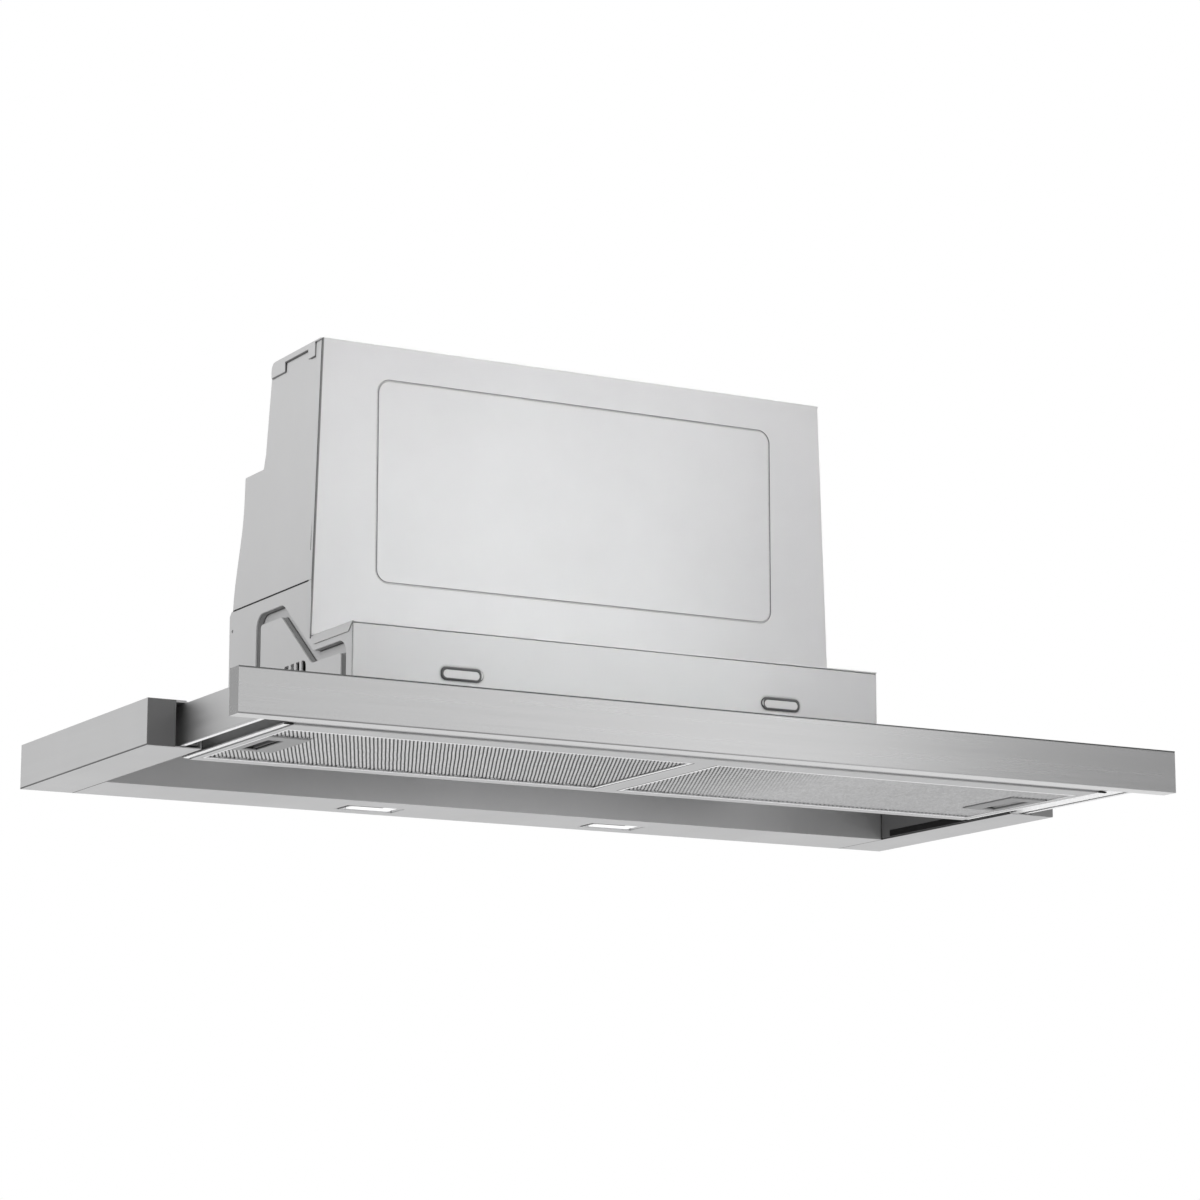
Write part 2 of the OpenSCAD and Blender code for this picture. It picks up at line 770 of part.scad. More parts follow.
module lower_housing() {
    z0 = deck_z + sheet;
    rear = -house_rear;
    shaft = -shaft_front;
    front = -house_front + cover_t + cover_gap;
    color("lightgray") difference() {
        union() {
            along_x(-house_x, house_x) polygon([[front, z0], [rear, z0], [rear, house_top - house_bevel],
                [rear - house_bevel, house_top], [shaft, house_top], [shaft, box_top - lid_t],
                [front, box_top - lid_t]]);
            for (s = [-1, 1]) on_side(s) slab([house_x - wall, front, z0],
                [house_x + foot_flange_w, rear, z0 + foot_flange_t]);
        }
        along_x(-house_x + wall, house_x - wall) polygon([[shaft + wall, z0 - cut],
            [rear - wall, z0 - cut], [rear - wall, house_top - house_bevel],
            [rear - wall - house_bevel, house_top], [rear - wall - house_bevel, house_top + cut],
            [shaft + wall, house_top + cut]]);
        slab([-house_x + wall, front - cut, z0 - cut], [house_x - wall, shaft, box_top]);
        slab([-house_x + wall, shaft - cut, z0 - cut], [house_x - wall, shaft + wall + cut, box_top - lid_t]);
        for (s = [-1, 1]) on_side(s) {
            along_x(house_x - wall - cut, house_x + cut) window_shape();
            along_x(house_x - wall - cut, house_x + cut) polygon(band(recess_path(0), recess_w));
            translate([house_x - wall - cut, -side_hole_y, side_hole_z]) rotate([0, 90, 0])
                cylinder(r = side_hole_r, h = wall + 2 * cut);
        }
        for (s = [-1, 1]) on_side(s) translate([house_x - wall - cut, shaft, box_top])
            rotate([0, 90, 0]) cylinder(r = corner_hole_r, h = wall + 2 * cut);
        translate([gland_x, rear + cut, gland_z]) rotate([90, 0, 0])
            cylinder(r = gland_neck_r + pin_gap, h = wall + 2 * cut);
    }
}

// Cover with a return along each side, and two raised tabs with a groove round them
module lower_front_cover() {
    y0 = -house_front;
    y1 = -house_front + cover_t;
    x = house_x - wall - seat;
    z0 = deck_z + sheet;
    z1 = box_top - lid_t - lid_front_gap;
    tab_r = tab_h * 0.49;
    color("gainsboro") {
        difference() {
            slab([-house_x, y0, z0], [house_x, y1, z1]);
            for (s = [-1, 1]) translate([s * tab_x - tab_w / 2 - tab_groove_w, 0,
                tab_z - tab_h / 2 - tab_groove_w]) along_y(y0 - cut, y0 + tab_groove_d)
                round_rect(tab_w + 2 * tab_groove_w, tab_h + 2 * tab_groove_w, tab_r + tab_groove_w);
        }
        for (s = [-1, 1]) translate([s * tab_x - tab_w / 2, 0, tab_z - tab_h / 2])
            along_y(y0 - tab_rise, (y0 + tab_groove_d + y1) / 2) round_rect(tab_w, tab_h, tab_r);
        for (s = [-1, 1]) on_side(s)
            slab([x - cover_return_t, (y0 + y1) / 2, z0 + seat], [x, y1 + cover_return_d, z1]);
    }
}

module box_lid() {
    y0 = -house_front;
    y1 = -shaft_front - seat;
    color("lightgray") {
        slab([-house_x, y0, box_top - lid_t], [house_x, y1, box_top]);
        for (s = [-1, 1]) on_side(s) along_x(house_x, house_x + lid_flange_t)
            polygon([[y0, box_top], [y0 + lid_slope, box_top - lid_flange_h],
                [-upper_front - lid_rear_gap, box_top - lid_flange_h],
                [-upper_front - lid_rear_gap, box_top]]);
    }
}

// Sunk channel behind the slot in the side of the lower housing
module side_channel(side) {
    color("lightgray") on_side(side) difference() {
        along_x(house_x - recess_d - recess_t, house_x - wall - seat)
            polygon(band(recess_path(recess_t), recess_w + 2 * recess_t));
        along_x(house_x - recess_d, house_x) polygon(band(recess_path(0), recess_w));
    }
}

module screw_head() {
    difference() {
        cylinder(r = screw_r, h = screw_h);
        translate([0, 0, screw_h / 2]) for (a = [0, 90]) rotate([0, 0, a])
            slab([-screw_r / 2, -screw_r / 8, 0], [screw_r / 2, screw_r / 8, screw_h]);
    }
}

module deck_screws() {
    z = deck_z + sheet + foot_flange_t;
    gaps = (house_front - house_rear) / 3;
    color("silver") for (s = [-1, 1], i = [0:2])
        translate([s * (house_x + foot_flange_w / 2 + screw_r / 2), -house_rear - gaps * (i + 0.25), z])
            screw_head();
}

module housing_screws() {
    color("silver") for (s = [-1, 1], x = [house_x / 3, house_x * 0.85])
        translate([s * x, -house_rear, house_top - screw_inset]) rotate([-90, 0, 0]) screw_head();
}

// Rear of the upper housing, from its foot up to the top
function curve_y(t) = -foot_rear - (shelf_rear - foot_rear) * (3 * pow(t, 2) - 2 * pow(t, 3));
rear_path = concat(
    [for (i = [0:curve_steps])
        [curve_y(i / curve_steps), upper_z + (curve_z - upper_z) * i / curve_steps]],
    [[-shelf_rear, shelf_z], [-neck_rear, shelf_z], [-neck_rear - neck_in, shelf_z + neck_rise],
        [-top_rear, hood_top - cover_plate_t]]);

function half_width(z) = upper_foot_x - (upper_foot_x - upper_top_x)
    * (z - upper_cover_z) / (hood_top - upper_cover_z);

// Front view of the housing, d inside its drafted sides
module front_shape(z0, z1, d) {
    polygon([[-half_width(z0) + d, z0], [half_width(z0) - d, z0],
        [half_width(z1) - d, z1], [-half_width(z1) + d, z1]]);
}

// Solid of the upper housing: d inside its walls, e past its open faces
module shaft(d, e) {
    line = beside(rear_path, d);
    last = len(line) - 1;
    front = -shaft_front - e;
    z0 = upper_z - e;
    z1 = hood_top - cover_plate_t + e;
    middle = [for (i = [1:last - 1]) line[i]];
    intersection() {
        along_x(-upper_foot_x, upper_foot_x) polygon(concat([[front, z0], [line[0][0], z0]],
            middle, [[line[last][0], z1], [front, z1]]));
        along_y(-upper_front - 2 * cut, 0) front_shape(z0, z1, d);
    }
}

module upper_housing() {
    bulge_r = outlet_r + tube_t + tube_gap;
    top = hood_top - cover_plate_t;
    color("lightgray") difference() {
        union() {
            shaft(0, 0);
            translate([0, -outlet_y, shelf_z - wall]) cylinder(r = bulge_r + bulge_wall,
                h = top - shelf_z + wall);
        }
        shaft(wall, cut);
        translate([0, -outlet_y, shelf_z - 3 * wall]) cylinder(r = bulge_r, h = top - shelf_z + 4 * wall);
        for (s = [-1, 1]) on_side(s) slab([half_width(side_groove_z0) - wall / 2,
            -side_groove_y - side_groove_w / 2, side_groove_z0], [upper_foot_x + cut,
            -side_groove_y + side_groove_w / 2, side_groove_z1]);
    }
}

module upper_front_cover() {
    y0 = -upper_front;
    y1 = -upper_front + cover_plate_t - seat;
    z1 = hood_top - cover_plate_t - seat;
    color("gainsboro") difference() {
        union() {
            along_y(y0, y1) front_shape(upper_cover_z, hood_top, 0);
            along_y((y0 + y1) / 2, y1 + cover_return_d) difference() {
                front_shape(upper_z + seat, z1, wall + seat);
                front_shape(upper_z, hood_top, wall + seat + cover_return_t);
            }
        }
        along_y(y0 - cut, y0 + groove_d) difference() {
            translate([-field_w / 2, field_z]) round_rect(field_w, field_h, field_r);
            translate([-field_w / 2 + groove_w, field_z + groove_w])
                round_rect(field_w - 2 * groove_w, field_h - 2 * groove_w, field_r - groove_w);
        }
    }
}

// Side flange of the top cover, with a hook at its front and rear ends
module top_flange(side) {
    x = half_width(hood_top - top_hook_h) + seat;
    front = -upper_front + cover_plate_t;
    low = hood_top - top_flange_h;
    hook = hood_top - top_hook_h;
    on_side(side) along_x(x, x + top_flange_t) polygon(concat(
        bend([-top_rear, hook], [-top_rear, hood_top], [front, hood_top], top_corner_r, 4),
        [[-top_hook_front_1, hood_top], [-top_hook_front_1, hook], [-top_hook_front_0, hook],
            [-top_hook_front_0, low], [-top_rear - top_hook_rear, low],
            [-top_rear - top_hook_rear, hook], [-top_rear, hook]]));
}

module top_cover() {
    z0 = hood_top - cover_plate_t;
    front = -upper_front + cover_plate_t;
    tube_r = outlet_r + tube_t;
    x = half_width(hood_top - top_hook_h) + seat + top_flange_t;
    color("lightgray") difference() {
        union() {
            slab([-x, front, z0], [x, -top_rear - top_corner_r, hood_top]);
            slab([-half_width(hood_top), -top_rear - top_corner_r - cut, z0],
                [half_width(hood_top), -top_rear, hood_top]);
            for (s = [-1, 1]) top_flange(s);
            translate([0, -outlet_y, z0]) cylinder(r = tube_r + tube_gap + bulge_wall, h = cover_plate_t);
            translate([0, -outlet_y, tube_foot])
                cylinder(r = tube_r, h = hood_top + outlet_rim - tube_foot);
        }
        translate([0, -outlet_y, flap_z - ledge_t])
            cylinder(r = outlet_r - ledge_w, h = hood_top + outlet_rim - flap_z + ledge_t + cut);
        translate([0, -outlet_y, flap_z])
            cylinder(r = outlet_r, h = hood_top + outlet_rim - flap_z + cut);
        translate([0, -outlet_y, socket_z])
            cylinder(r = outlet_r + socket_step, h = hood_top + outlet_rim - socket_z + cut);
        translate([0, -outlet_y, tube_foot + tube_foot_t])
            cylinder(r = outlet_r, h = flap_z - ledge_t - tube_foot - tube_foot_t);
        intersection() {
            translate([0, -outlet_y, tube_foot - cut])
                cylinder(r = scroll_hole_r, h = tube_foot_t + 2 * cut);
            slab([-scroll_hole_r, -outlet_y - scroll_hole_r, tube_foot - 2 * cut],
                [scroll_hole_r, -scroll_rear_y - 2 * cut, tube_foot + tube_foot_t + 2 * cut]);
        }
        translate([-tube_r - cut, -outlet_y, flap_z + knuckle_r]) rotate([0, 90, 0])
            cylinder(r = flap_pin_r + pin_gap, h = 2 * (tube_r + cut));
    }
}

module flap_pin() {
    l = outlet_r + tube_t;
    color("silver") translate([-l, -outlet_y, flap_z + knuckle_r]) rotate([0, 90, 0])
        cylinder(r = flap_pin_r, h = 2 * l);
}

// Half disc with hinge knuckles; the knuckles of the two flaps alternate
module flap(way) {
    pitch = 2 * knuckle_l;
    first = -knuckle_pairs * knuckle_l + (way > 0 ? knuckle_l : 0);
    edge = knuckle_r + knuckle_gap;
    radius = outlet_r - flap_gap;
    color("dimgray") translate([0, -outlet_y, flap_z]) difference() {
        union() {
            intersection() {
                cylinder(r = radius, h = flap_t);
                if (way > 0) slab([-outlet_r, edge, -cut], [outlet_r, outlet_r, flap_t + cut]);
                else slab([-outlet_r, -outlet_r, -cut], [outlet_r, -edge, flap_t + cut]);
            }
            for (i = [0:knuckle_pairs - 1])
                translate([first + i * pitch + knuckle_gap / 2, 0, 0]) {
                    translate([0, 0, knuckle_r]) rotate([0, 90, 0])
                        cylinder(r = knuckle_r, h = knuckle_l - knuckle_gap);
                    if (way > 0) slab([0, 0, 0], [knuckle_l - knuckle_gap, edge + cut, flap_t]);
                    else slab([0, -edge - cut, 0], [knuckle_l - knuckle_gap, 0, flap_t]);
                }
        }
        translate([-outlet_r, 0, knuckle_r]) rotate([0, 90, 0])
            cylinder(r = flap_pin_r + pin_gap, h = 2 * outlet_r);
    }
}

// Outline of the scroll: a growing spiral, then straight up to the outlet
scroll_path = concat(
    [for (i = [0:scroll_steps]) polar([-fan_y, fan_z], scroll_start
        + (scroll_end - scroll_start) * i / scroll_steps, scroll_cutoff - scroll_sweep * i / scroll_steps)],
    [[-fan_y - scroll_end, scroll_top]]);

module scroll_housing() {
    inner = concat([[-scroll_rear_y, scroll_top]], scroll_path);
    outer = beside(inner, scroll_wall);
    last = len(outer) - 1;
    color("darkgray") difference() {
        along_x(-scroll_half_l - scroll_wall, scroll_half_l + scroll_wall) polygon(outer);
        along_x(-scroll_half_l, scroll_half_l) polygon(concat(
            [[inner[0][0], scroll_top + cut]], scroll_path, [[inner[last][0], scroll_top + cut]]));
        translate([-scroll_half_l - scroll_wall - cut, -fan_y, fan_z]) rotate([0, 90, 0])
            cylinder(r = scroll_inlet_r, h = 2 * (scroll_half_l + scroll_wall + cut));
    }
}

module impeller() {
    r_in = fan_r * fan_in_share;
    tip = polar([0, 0], fan_r - blade_inset, blade_lean);
    root = [r_in + blade_inset, 0];
    middle = (root + tip) / 2 - left_of(unit(tip - root)) * norm(tip - root) * blade_bow_share;
    line = concat([root], [middle], [tip]);
    color("dimgray") translate([0, -fan_y, fan_z]) rotate([90, 0, 90]) {
        for (i = [0:blades - 1]) rotate([0, 0, i * 360 / blades])
            translate([0, 0, -fan_half_l]) linear_extrude(2 * fan_half_l)
                polygon(folded(line, blade_t));
        for (z = [-fan_half_l, fan_half_l - fan_ring_t]) translate([0, 0, z]) difference() {
            cylinder(r = fan_r + fan_ring_t, h = fan_ring_t);
            translate([0, 0, -cut]) cylinder(r = r_in, h = fan_ring_t + 2 * cut);
        }
        difference() {
            union() {
                translate([0, 0, fan_disc_x]) cylinder(r = fan_r, h = fan_disc_t);
                translate([0, 0, fan_disc_x - hub_l / 4]) cylinder(r = hub_r, h = hub_l);
            }
            translate([0, 0, fan_disc_x - hub_l]) cylinder(r = shaft_r + shaft_gap, h = 3 * hub_l);
        }
    }
}

module motor() {
    color("slategray") translate([0, -fan_y, fan_z]) rotate([0, 90, 0]) {
        translate([0, 0, motor_x0]) cylinder(r = motor_r * 0.82, h = motor_x1 - motor_x0);
        translate([0, 0, motor_x0 + hub_l / 2]) cylinder(r = motor_r, h = motor_x1 - motor_x0 - hub_l);
        translate([0, 0, motor_x1 - cut]) cylinder(r = shaft_r, h = fan_disc_x + hub_l - motor_x1);
    }
}

// Disc behind the motor with three arms out to a ring round the inlet
module motor_mount() {
    x1 = motor_x0;
    ring_in = scroll_inlet_r;
    z0 = -scroll_half_l - scroll_wall - mount_t;
    color("gray") translate([0, -fan_y, fan_z]) rotate([90, 0, 90]) {
        translate([0, 0, z0]) {
            cylinder(r = motor_r * 0.7, h = x1 - z0);
            for (a = [90, 210, 330]) rotate([0, 0, a])
                slab([0, -mount_arm_w / 2, 0], [ring_in + mount_ring_w / 2, mount_arm_w / 2, mount_t]);
            difference() {
                cylinder(r = ring_in + mount_ring_w, h = mount_t);
                translate([0, 0, -cut]) cylinder(r = ring_in, h = mount_t + 2 * cut);
            }
        }
    }
}

module power_module() {
    z1 = box_top - lid_t;
    color("white") difference() {
        slab([module_x0, -module_front, z1 - module_h], [module_x1, -module_rear, z1]);
        for (i = [1:4]) translate([module_x0 + i * (module_x1 - module_x0) / 5, 0, 0])
            slab([-wall, -module_rear - 2 * wall, z1 - module_h - cut],
                [wall, -module_rear + cut, z1 - module_h / 2]);
    }
}

module capacitor() {
    z1 = box_top - lid_t;
    y0 = -module_front;
    color("silver") {
        translate([capacitor_x, y0 + capacitor_l, z1 - capacitor_r]) rotate([90, 0, 0])
            cylinder(r = capacitor_r, h = capacitor_l);
        translate([capacitor_x, y0 + capacitor_l / 2, 0])
            slab([-capacitor_r, -capacitor_strap_w / 2, z1 - capacitor_r],
                [capacitor_r, capacitor_strap_w / 2, z1]);
    }
}

module cable_gland() {
    color("dimgray") translate([gland_x, -house_rear, gland_z]) rotate([-90, 0, 0]) difference() {
        union() {
            translate([0, 0, -wall]) cylinder(r = gland_neck_r, h = wall + gland_nose_l);
            cylinder(r = gland_r, h = gland_flange_t);
            translate([0, 0, -wall - gland_flange_t]) cylinder(r = gland_r, h = gland_flange_t);
        }
        translate([0, 0, -wall - gland_flange_t - cut])
            cylinder(r = gland_bore_r, h = wall + gland_flange_t + gland_nose_l + 2 * cut);
    }
}

placed() side_member(-1);  // side_member_left
placed() side_member(1);  // side_member_right
placed() end_cap(-1);  // end_cap_left
placed() end_cap(1);  // end_cap_right
placed() rear_strip();
placed() base_deck();
placed() lamp_tray(-1);  // lamp_tray_left
placed() lamp_tray(1);  // lamp_tray_right
placed() lamp_lens(-1);  // lamp_lens_left
placed() lamp_lens(1);  // lamp_lens_right
placed() fixed_rail(-1);  // fixed_rail_left
placed() fixed_rail(1);  // fixed_rail_right
placed() ball_cage(-1);  // ball_cage_left
placed() ball_cage(1);  // ball_cage_right
placed() lower_housing();
placed() lower_front_cover();
placed() box_lid();
placed() side_channel(-1);  // side_channel_left
placed() side_channel(1);  // side_channel_right
placed() deck_screws();
placed() upper_housing();
placed() upper_front_cover();
placed() top_cover();
placed() housing_screws();
placed() flap_pin();
placed() flap(-1);  // front_flap
placed() flap(1);  // rear_flap
placed() scroll_housing();
placed() impeller();
placed() motor();
placed() motor_mount();
placed() capacitor();
placed() power_module();
placed() cable_gland();
placed() front_panel();
placed() panel_back();
placed() cross_rail();
placed() tray_channel(-1);  // tray_channel_left
placed() tray_channel(1);  // tray_channel_right
placed() moving_rail(-1);  // moving_rail_left
placed() moving_rail(1);  // moving_rail_right
placed() filter_tray();
placed() filter_frame(-1);  // filter_frame_left
placed() filter_frame(1);  // filter_frame_right
placed() filter_mesh(-1);  // filter_mesh_left
placed() filter_mesh(1);  // filter_mesh_right
placed() filter_grip(-1);  // filter_grip_left
placed() filter_grip(1);  // filter_grip_right
placed() filter_latch(-1);  // filter_latch_left
placed() filter_latch(1);  // filter_latch_right
placed() control_housing();
placed() button(0);  // power_button
placed() button(1);  // light_button
placed() button(2);  // low_speed_button
placed() button(3);  // medium_speed_button
placed() button(4);  // high_speed_button
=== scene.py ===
import json
import math

import bmesh
import bpy
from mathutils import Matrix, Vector


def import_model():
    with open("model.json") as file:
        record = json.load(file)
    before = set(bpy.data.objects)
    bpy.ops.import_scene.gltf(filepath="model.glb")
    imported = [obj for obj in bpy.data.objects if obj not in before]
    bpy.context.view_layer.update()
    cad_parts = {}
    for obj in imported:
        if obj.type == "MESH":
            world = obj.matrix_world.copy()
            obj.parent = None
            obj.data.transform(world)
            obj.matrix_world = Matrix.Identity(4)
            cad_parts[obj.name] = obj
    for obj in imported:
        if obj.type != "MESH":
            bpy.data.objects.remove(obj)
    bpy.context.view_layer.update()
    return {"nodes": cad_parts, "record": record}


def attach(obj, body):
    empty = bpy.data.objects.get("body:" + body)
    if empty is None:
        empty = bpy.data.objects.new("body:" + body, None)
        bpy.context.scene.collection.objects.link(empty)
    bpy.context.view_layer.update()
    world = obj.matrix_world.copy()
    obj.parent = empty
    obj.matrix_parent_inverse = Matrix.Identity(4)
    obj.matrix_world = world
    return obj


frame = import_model()
nodes = frame["nodes"]
MM = 0.001

# The CAD model's own coordinates start at the rear; the row frame's in the middle
MID = 236.75

# Places that the materials mark, in m: the panel's top, where painted shade lies, and on the base the joint
# between a side member and the rear strip, the member's outer edge, the skin of the underside, the strip's end
# and its middle, brightened by a painted highlight
PANEL_TOP = 0.0372
MEMBER_JOINT = (0.4003, 0.4013)
MEMBER_EDGE = (0.4487, 0.4489)
UNDERSIDE = (0.0012, 0.0014)
STRIP_END = (0.39, 0.40)
STRIP_MIDDLE = (0.05, 0.33)

# The upper cover's foot and rear edge, and its front corner, whose x leans with z: bounds of the painted shade
# at its joint with the housing
COVER_FOOT = (0.1214, 0.1216)
COVER_REAR = (0.0437, 0.0442)
CORNER_LEAN, CORNER_X = 0.0297, -0.2671
CORNER_SHADE_SPAN = (0.0010, 0.0014)

# Tone of a dark joint in steel and of the painted shade on the panel's edges, of the painted shade at the
# cover's joint, and the lift of the strip's painted highlight, as factors
JOINT_AND_SHADE_TONE, CORNER_SHADE_TONE, STRIP_HIGHLIGHT_LIFT = 0.22, 0.28, 1.4

# Keeps the brushed tangent off zero on faces that look along the grain
TANGENT_NUDGE = (0.003, 0.002, 0.004)


# Materials

def add(tree, kind, inputs=None, **props):
    n = tree.nodes.new("ShaderNode" + kind)
    for k, v in props.items():
        setattr(n, k, v)
    for k, v in (inputs or {}).items():
        if isinstance(v, bpy.types.NodeSocket):
            tree.links.new(v, n.inputs[k])
        else:
            n.inputs[k].default_value = v
    return n


def math_node(tree, op, a, b=0.0):
    return add(tree, "Math", {0: a, 1: b}, operation=op).outputs[0]


def spread(tree, value, lo, hi, a=0.0, b=1.0):
    """value from the span a..b to lo..hi."""
    return add(tree, "MapRange", {"Value": value, "From Min": a, "From Max": b,
                                  "To Min": lo, "To Max": hi}).outputs["Result"]


def noise(tree, co, scale, detail=3.0, rough=0.5, distort=0.0):
    return add(tree, "TexNoise", {"Vector": co, "Scale": scale, "Detail": detail,
                                  "Roughness": rough, "Distortion": distort}).outputs["Fac"]


def stretched(tree, co, s):
    return add(tree, "Mapping", {"Vector": co, "Scale": s}).outputs["Vector"]


def edge_mask(tree, radius):
    """1 on an edge of the piece, 0 on its faces."""
    bevel = add(tree, "Bevel", {"Radius": radius}, samples=4).outputs["Normal"]
    true = add(tree, "NewGeometry").outputs["Normal"]
    dot = add(tree, "VectorMath", {0: bevel, 1: true}, operation="DOT_PRODUCT").outputs["Value"]
    return spread(tree, dot, 1.0, 0.0, 0.80, 0.995)


def grey(v):
    return (v, v, v * 1.005, 1.0)


def tone(tree, fac, dark, light):
    r = add(tree, "ValToRGB", {"Fac": fac})
    r.color_ramp.elements[0].color = grey(dark) if not isinstance(dark, tuple) else dark
    r.color_ramp.elements[1].color = grey(light) if not isinstance(light, tuple) else light
    return r.outputs["Color"]


def start(name):
    m = bpy.data.materials.new(name)
    m.use_nodes = True
    t = m.node_tree
    t.nodes.clear()
    out = t.nodes.new("ShaderNodeOutputMaterial")
    b = t.nodes.new("ShaderNodeBsdfPrincipled")
    t.links.new(b.outputs[0], out.inputs["Surface"])
    return m, t, b


def link(tree, b, **ins):
    for k, v in ins.items():
        tree.links.new(v, b.inputs[k.replace("_", " ")])


def bump(tree, height, strength, distance, base=None):
    ins = {"Height": height, "Strength": strength, "Distance": distance}
    if base is not None:
        ins["Normal"] = base
    return add(tree, "Bump", ins).outputs["Normal"]


def round_edges(tree, radius):
    return add(tree, "Bevel", {"Radius": radius}, samples=4).outputs["Normal"]


def band(tree, value, low, high, soft=0.0002):
    """1 where value lies from low to high, 0 elsewhere."""
    return math_node(tree, "MULTIPLY", spread(tree, value, 0.0, 1.0, low - soft, low),
                     spread(tree, value, 1.0, 0.0, high, high + soft))


def blend(tree, a, b, share):
    """share of a, and b for the rest."""
    return math_node(tree, "ADD", math_node(tree, "MULTIPLY", a, share),
                     math_node(tree, "MULTIPLY", b, 1 - share))


def over(tree, fac, a, b):
    """Colour b laid over colour a by fac."""
    return add(tree, "Mix", {"Factor": fac, "A": a, "B": b}, data_type="RGBA").outputs["Result"]


def front_facing(tree, look):
    """1 on faces that look forward; look is the face normal, separated."""
    return spread(tree, look.outputs["Y"], 1.0, 0.0, -0.9, -0.5)


def crevice_shade(tree, dark, reach=0.0028, shut=0.35, wide=0.80):
    """Painted shade: 1 on open faces, down to dark in seams and tight corners, as ambient occlusion finds
    them.

    shut, wide: how open a place is at either end.
    """
    ao = add(tree, "AmbientOcclusion", {"Distance": reach}, samples=6).outputs["AO"]
    return spread(tree, ao, dark, 1.0, shut, wide)


def shaded(tree, color, *factors):
    for f in factors:
        color = add(tree, "Mix", {"Factor": 1.0, "A": color, "B": f}, data_type="RGBA",
                    blend_type="MULTIPLY").outputs["Result"]
    return color


def sides(tree):
    """Object coordinates: distance from the middle, y and z."""
    co = add(tree, "SeparateXYZ", {"Vector": add(tree, "TexCoord").outputs["Object"]})
    return math_node(tree, "ABSOLUTE", co.outputs["X"]), co.outputs["Y"], co.outputs["Z"]


def brushed(name, level, along="x", metal=1.0, rough=0.34, streak=0.05, relief=0.06, edge=0.0005,
            pull=0.75, edge_light=0.35, vary=0.055, gaps=0.4, ends=1.0, under=1.0, rim=None,
            seams=False, fineness=900.0, cloudy=0.03):
    """Sheet steel brushed along one axis, with faint wide bands, fine lines, edges lit by a painted highlight
    and creases darkened by painted shade.

    ends, under: tone of painted shade on faces looking sideways and down; rim: height of painted shade on the
    panel's rolled top and bottom edges;
    seams: dark joints of the base's side members with the rear strip and at their bottom edge, and a painted
    highlight on the rear strip's front;
    fineness: scale of the lines across the grain; vary, cloudy: how far lines and smudges move the roughness.
    """
    m, t, b = start(name)
    axis = {"x": (1.0, 0.0, 0.0), "y": (0.0, 1.0, 0.0), "z": (0.0, 0.0, 1.0)}[along]
    face = add(t, "NewGeometry").outputs["Normal"]
    cross = add(t, "VectorMath", {0: face, 1: axis}, operation="CROSS_PRODUCT").outputs["Vector"]
    across = add(t, "VectorMath", {0: cross, 1: TANGENT_NUDGE}, operation="ADD").outputs["Vector"]
    t.links.new(across, b.inputs["Tangent"])
    b.inputs["Anisotropic"].default_value = pull
    co = add(t, "TexCoord").outputs["Object"]
    long, short = 6.0, fineness
    s = {"x": (long, short, short), "y": (short, long, short), "z": (short, short, long)}[along]
    lines = noise(t, stretched(t, co, s), 1.0, 2.0, 0.6)
    coarse = tuple(v * (0.25 if v == short else 0.4) for v in s)
    bands = noise(t, stretched(t, co, coarse), 1.0, 2.0, 0.5)
    both = blend(t, lines, bands, 0.65)
    smudge = noise(t, co, 9.0, 3.0, 0.55)
    edge_glint = edge_mask(t, edge)
    base = tone(t, spread(t, both, 0.0, 1.0, 0.3, 0.7), level * (1 - streak), level * (1 + streak))
    # Painted highlight: edges lightened towards a paler grey
    edge_lit = over(t, math_node(t, "MULTIPLY", edge_glint, edge_light), base, grey(min(0.95, level * 1.3)))
    # Painted shade in creases and tight corners
    shades = [crevice_shade(t, gaps)]
    look = add(t, "SeparateXYZ", {"Vector": face})
    # Painted shade on faces that look sideways and down
    if ends != 1.0:
        shades.append(spread(t, math_node(t, "ABSOLUTE", look.outputs["X"]), 1.0, ends, 0.4, 0.7))
    if under != 1.0:
        shades.append(spread(t, look.outputs["Z"], under, 1.0, -0.7, -0.4))
    # Painted shade along the panel's top and bottom edges, the bottom one fading towards the right
    if rim:
        place = add(t, "SeparateXYZ", {"Vector": co}).outputs
        up = spread(t, place["Z"], 0.0, 1.0, PANEL_TOP - rim, PANEL_TOP - rim / 2)
        down = math_node(t, "MULTIPLY", spread(t, place["Z"], 1.0, 0.0, rim / 3, rim),
                         spread(t, place["X"], 0.75, 0.0, -0.05, 0.25))
        rim_shade = math_node(t, "MULTIPLY", front_facing(t, look), math_node(t, "MAXIMUM", up, down))
        shades.append(spread(t, rim_shade, 1.0, JOINT_AND_SHADE_TONE))
    if seams:
        x, _, z = sides(t)
        low = spread(t, z, 1.0, 0.0, *UNDERSIDE)
        joint = math_node(t, "MULTIPLY", band(t, x, *MEMBER_JOINT), low)
        foot = math_node(t, "MULTIPLY", spread(t, x, 0.0, 1.0, *MEMBER_EDGE), low)
        shades.append(spread(t, math_node(t, "MAXIMUM", joint, foot), 1.0, JOINT_AND_SHADE_TONE))
        # Painted highlight: the rear strip's front brightened towards its middle
        strip = math_node(t, "MULTIPLY", front_facing(t, look), spread(t, x, 1.0, 0.0, *STRIP_END))
        middle = math_node(t, "MULTIPLY", strip, spread(t, x, 1.0, 0.0, *STRIP_MIDDLE))
        shades.append(spread(t, middle, 1.0, STRIP_HIGHLIGHT_LIFT))
    r = math_node(t, "ADD", spread(t, both, rough - vary, rough + vary, 0.3, 0.7),
                  spread(t, smudge, -cloudy, cloudy, 0.3, 0.7))
    n = bump(t, both, relief, 0.0002, round_edges(t, edge))
    link(t, b, Base_Color=shaded(t, edge_lit, *shades), Roughness=r, Normal=n)
    b.inputs["Metallic"].default_value = metal
    return m


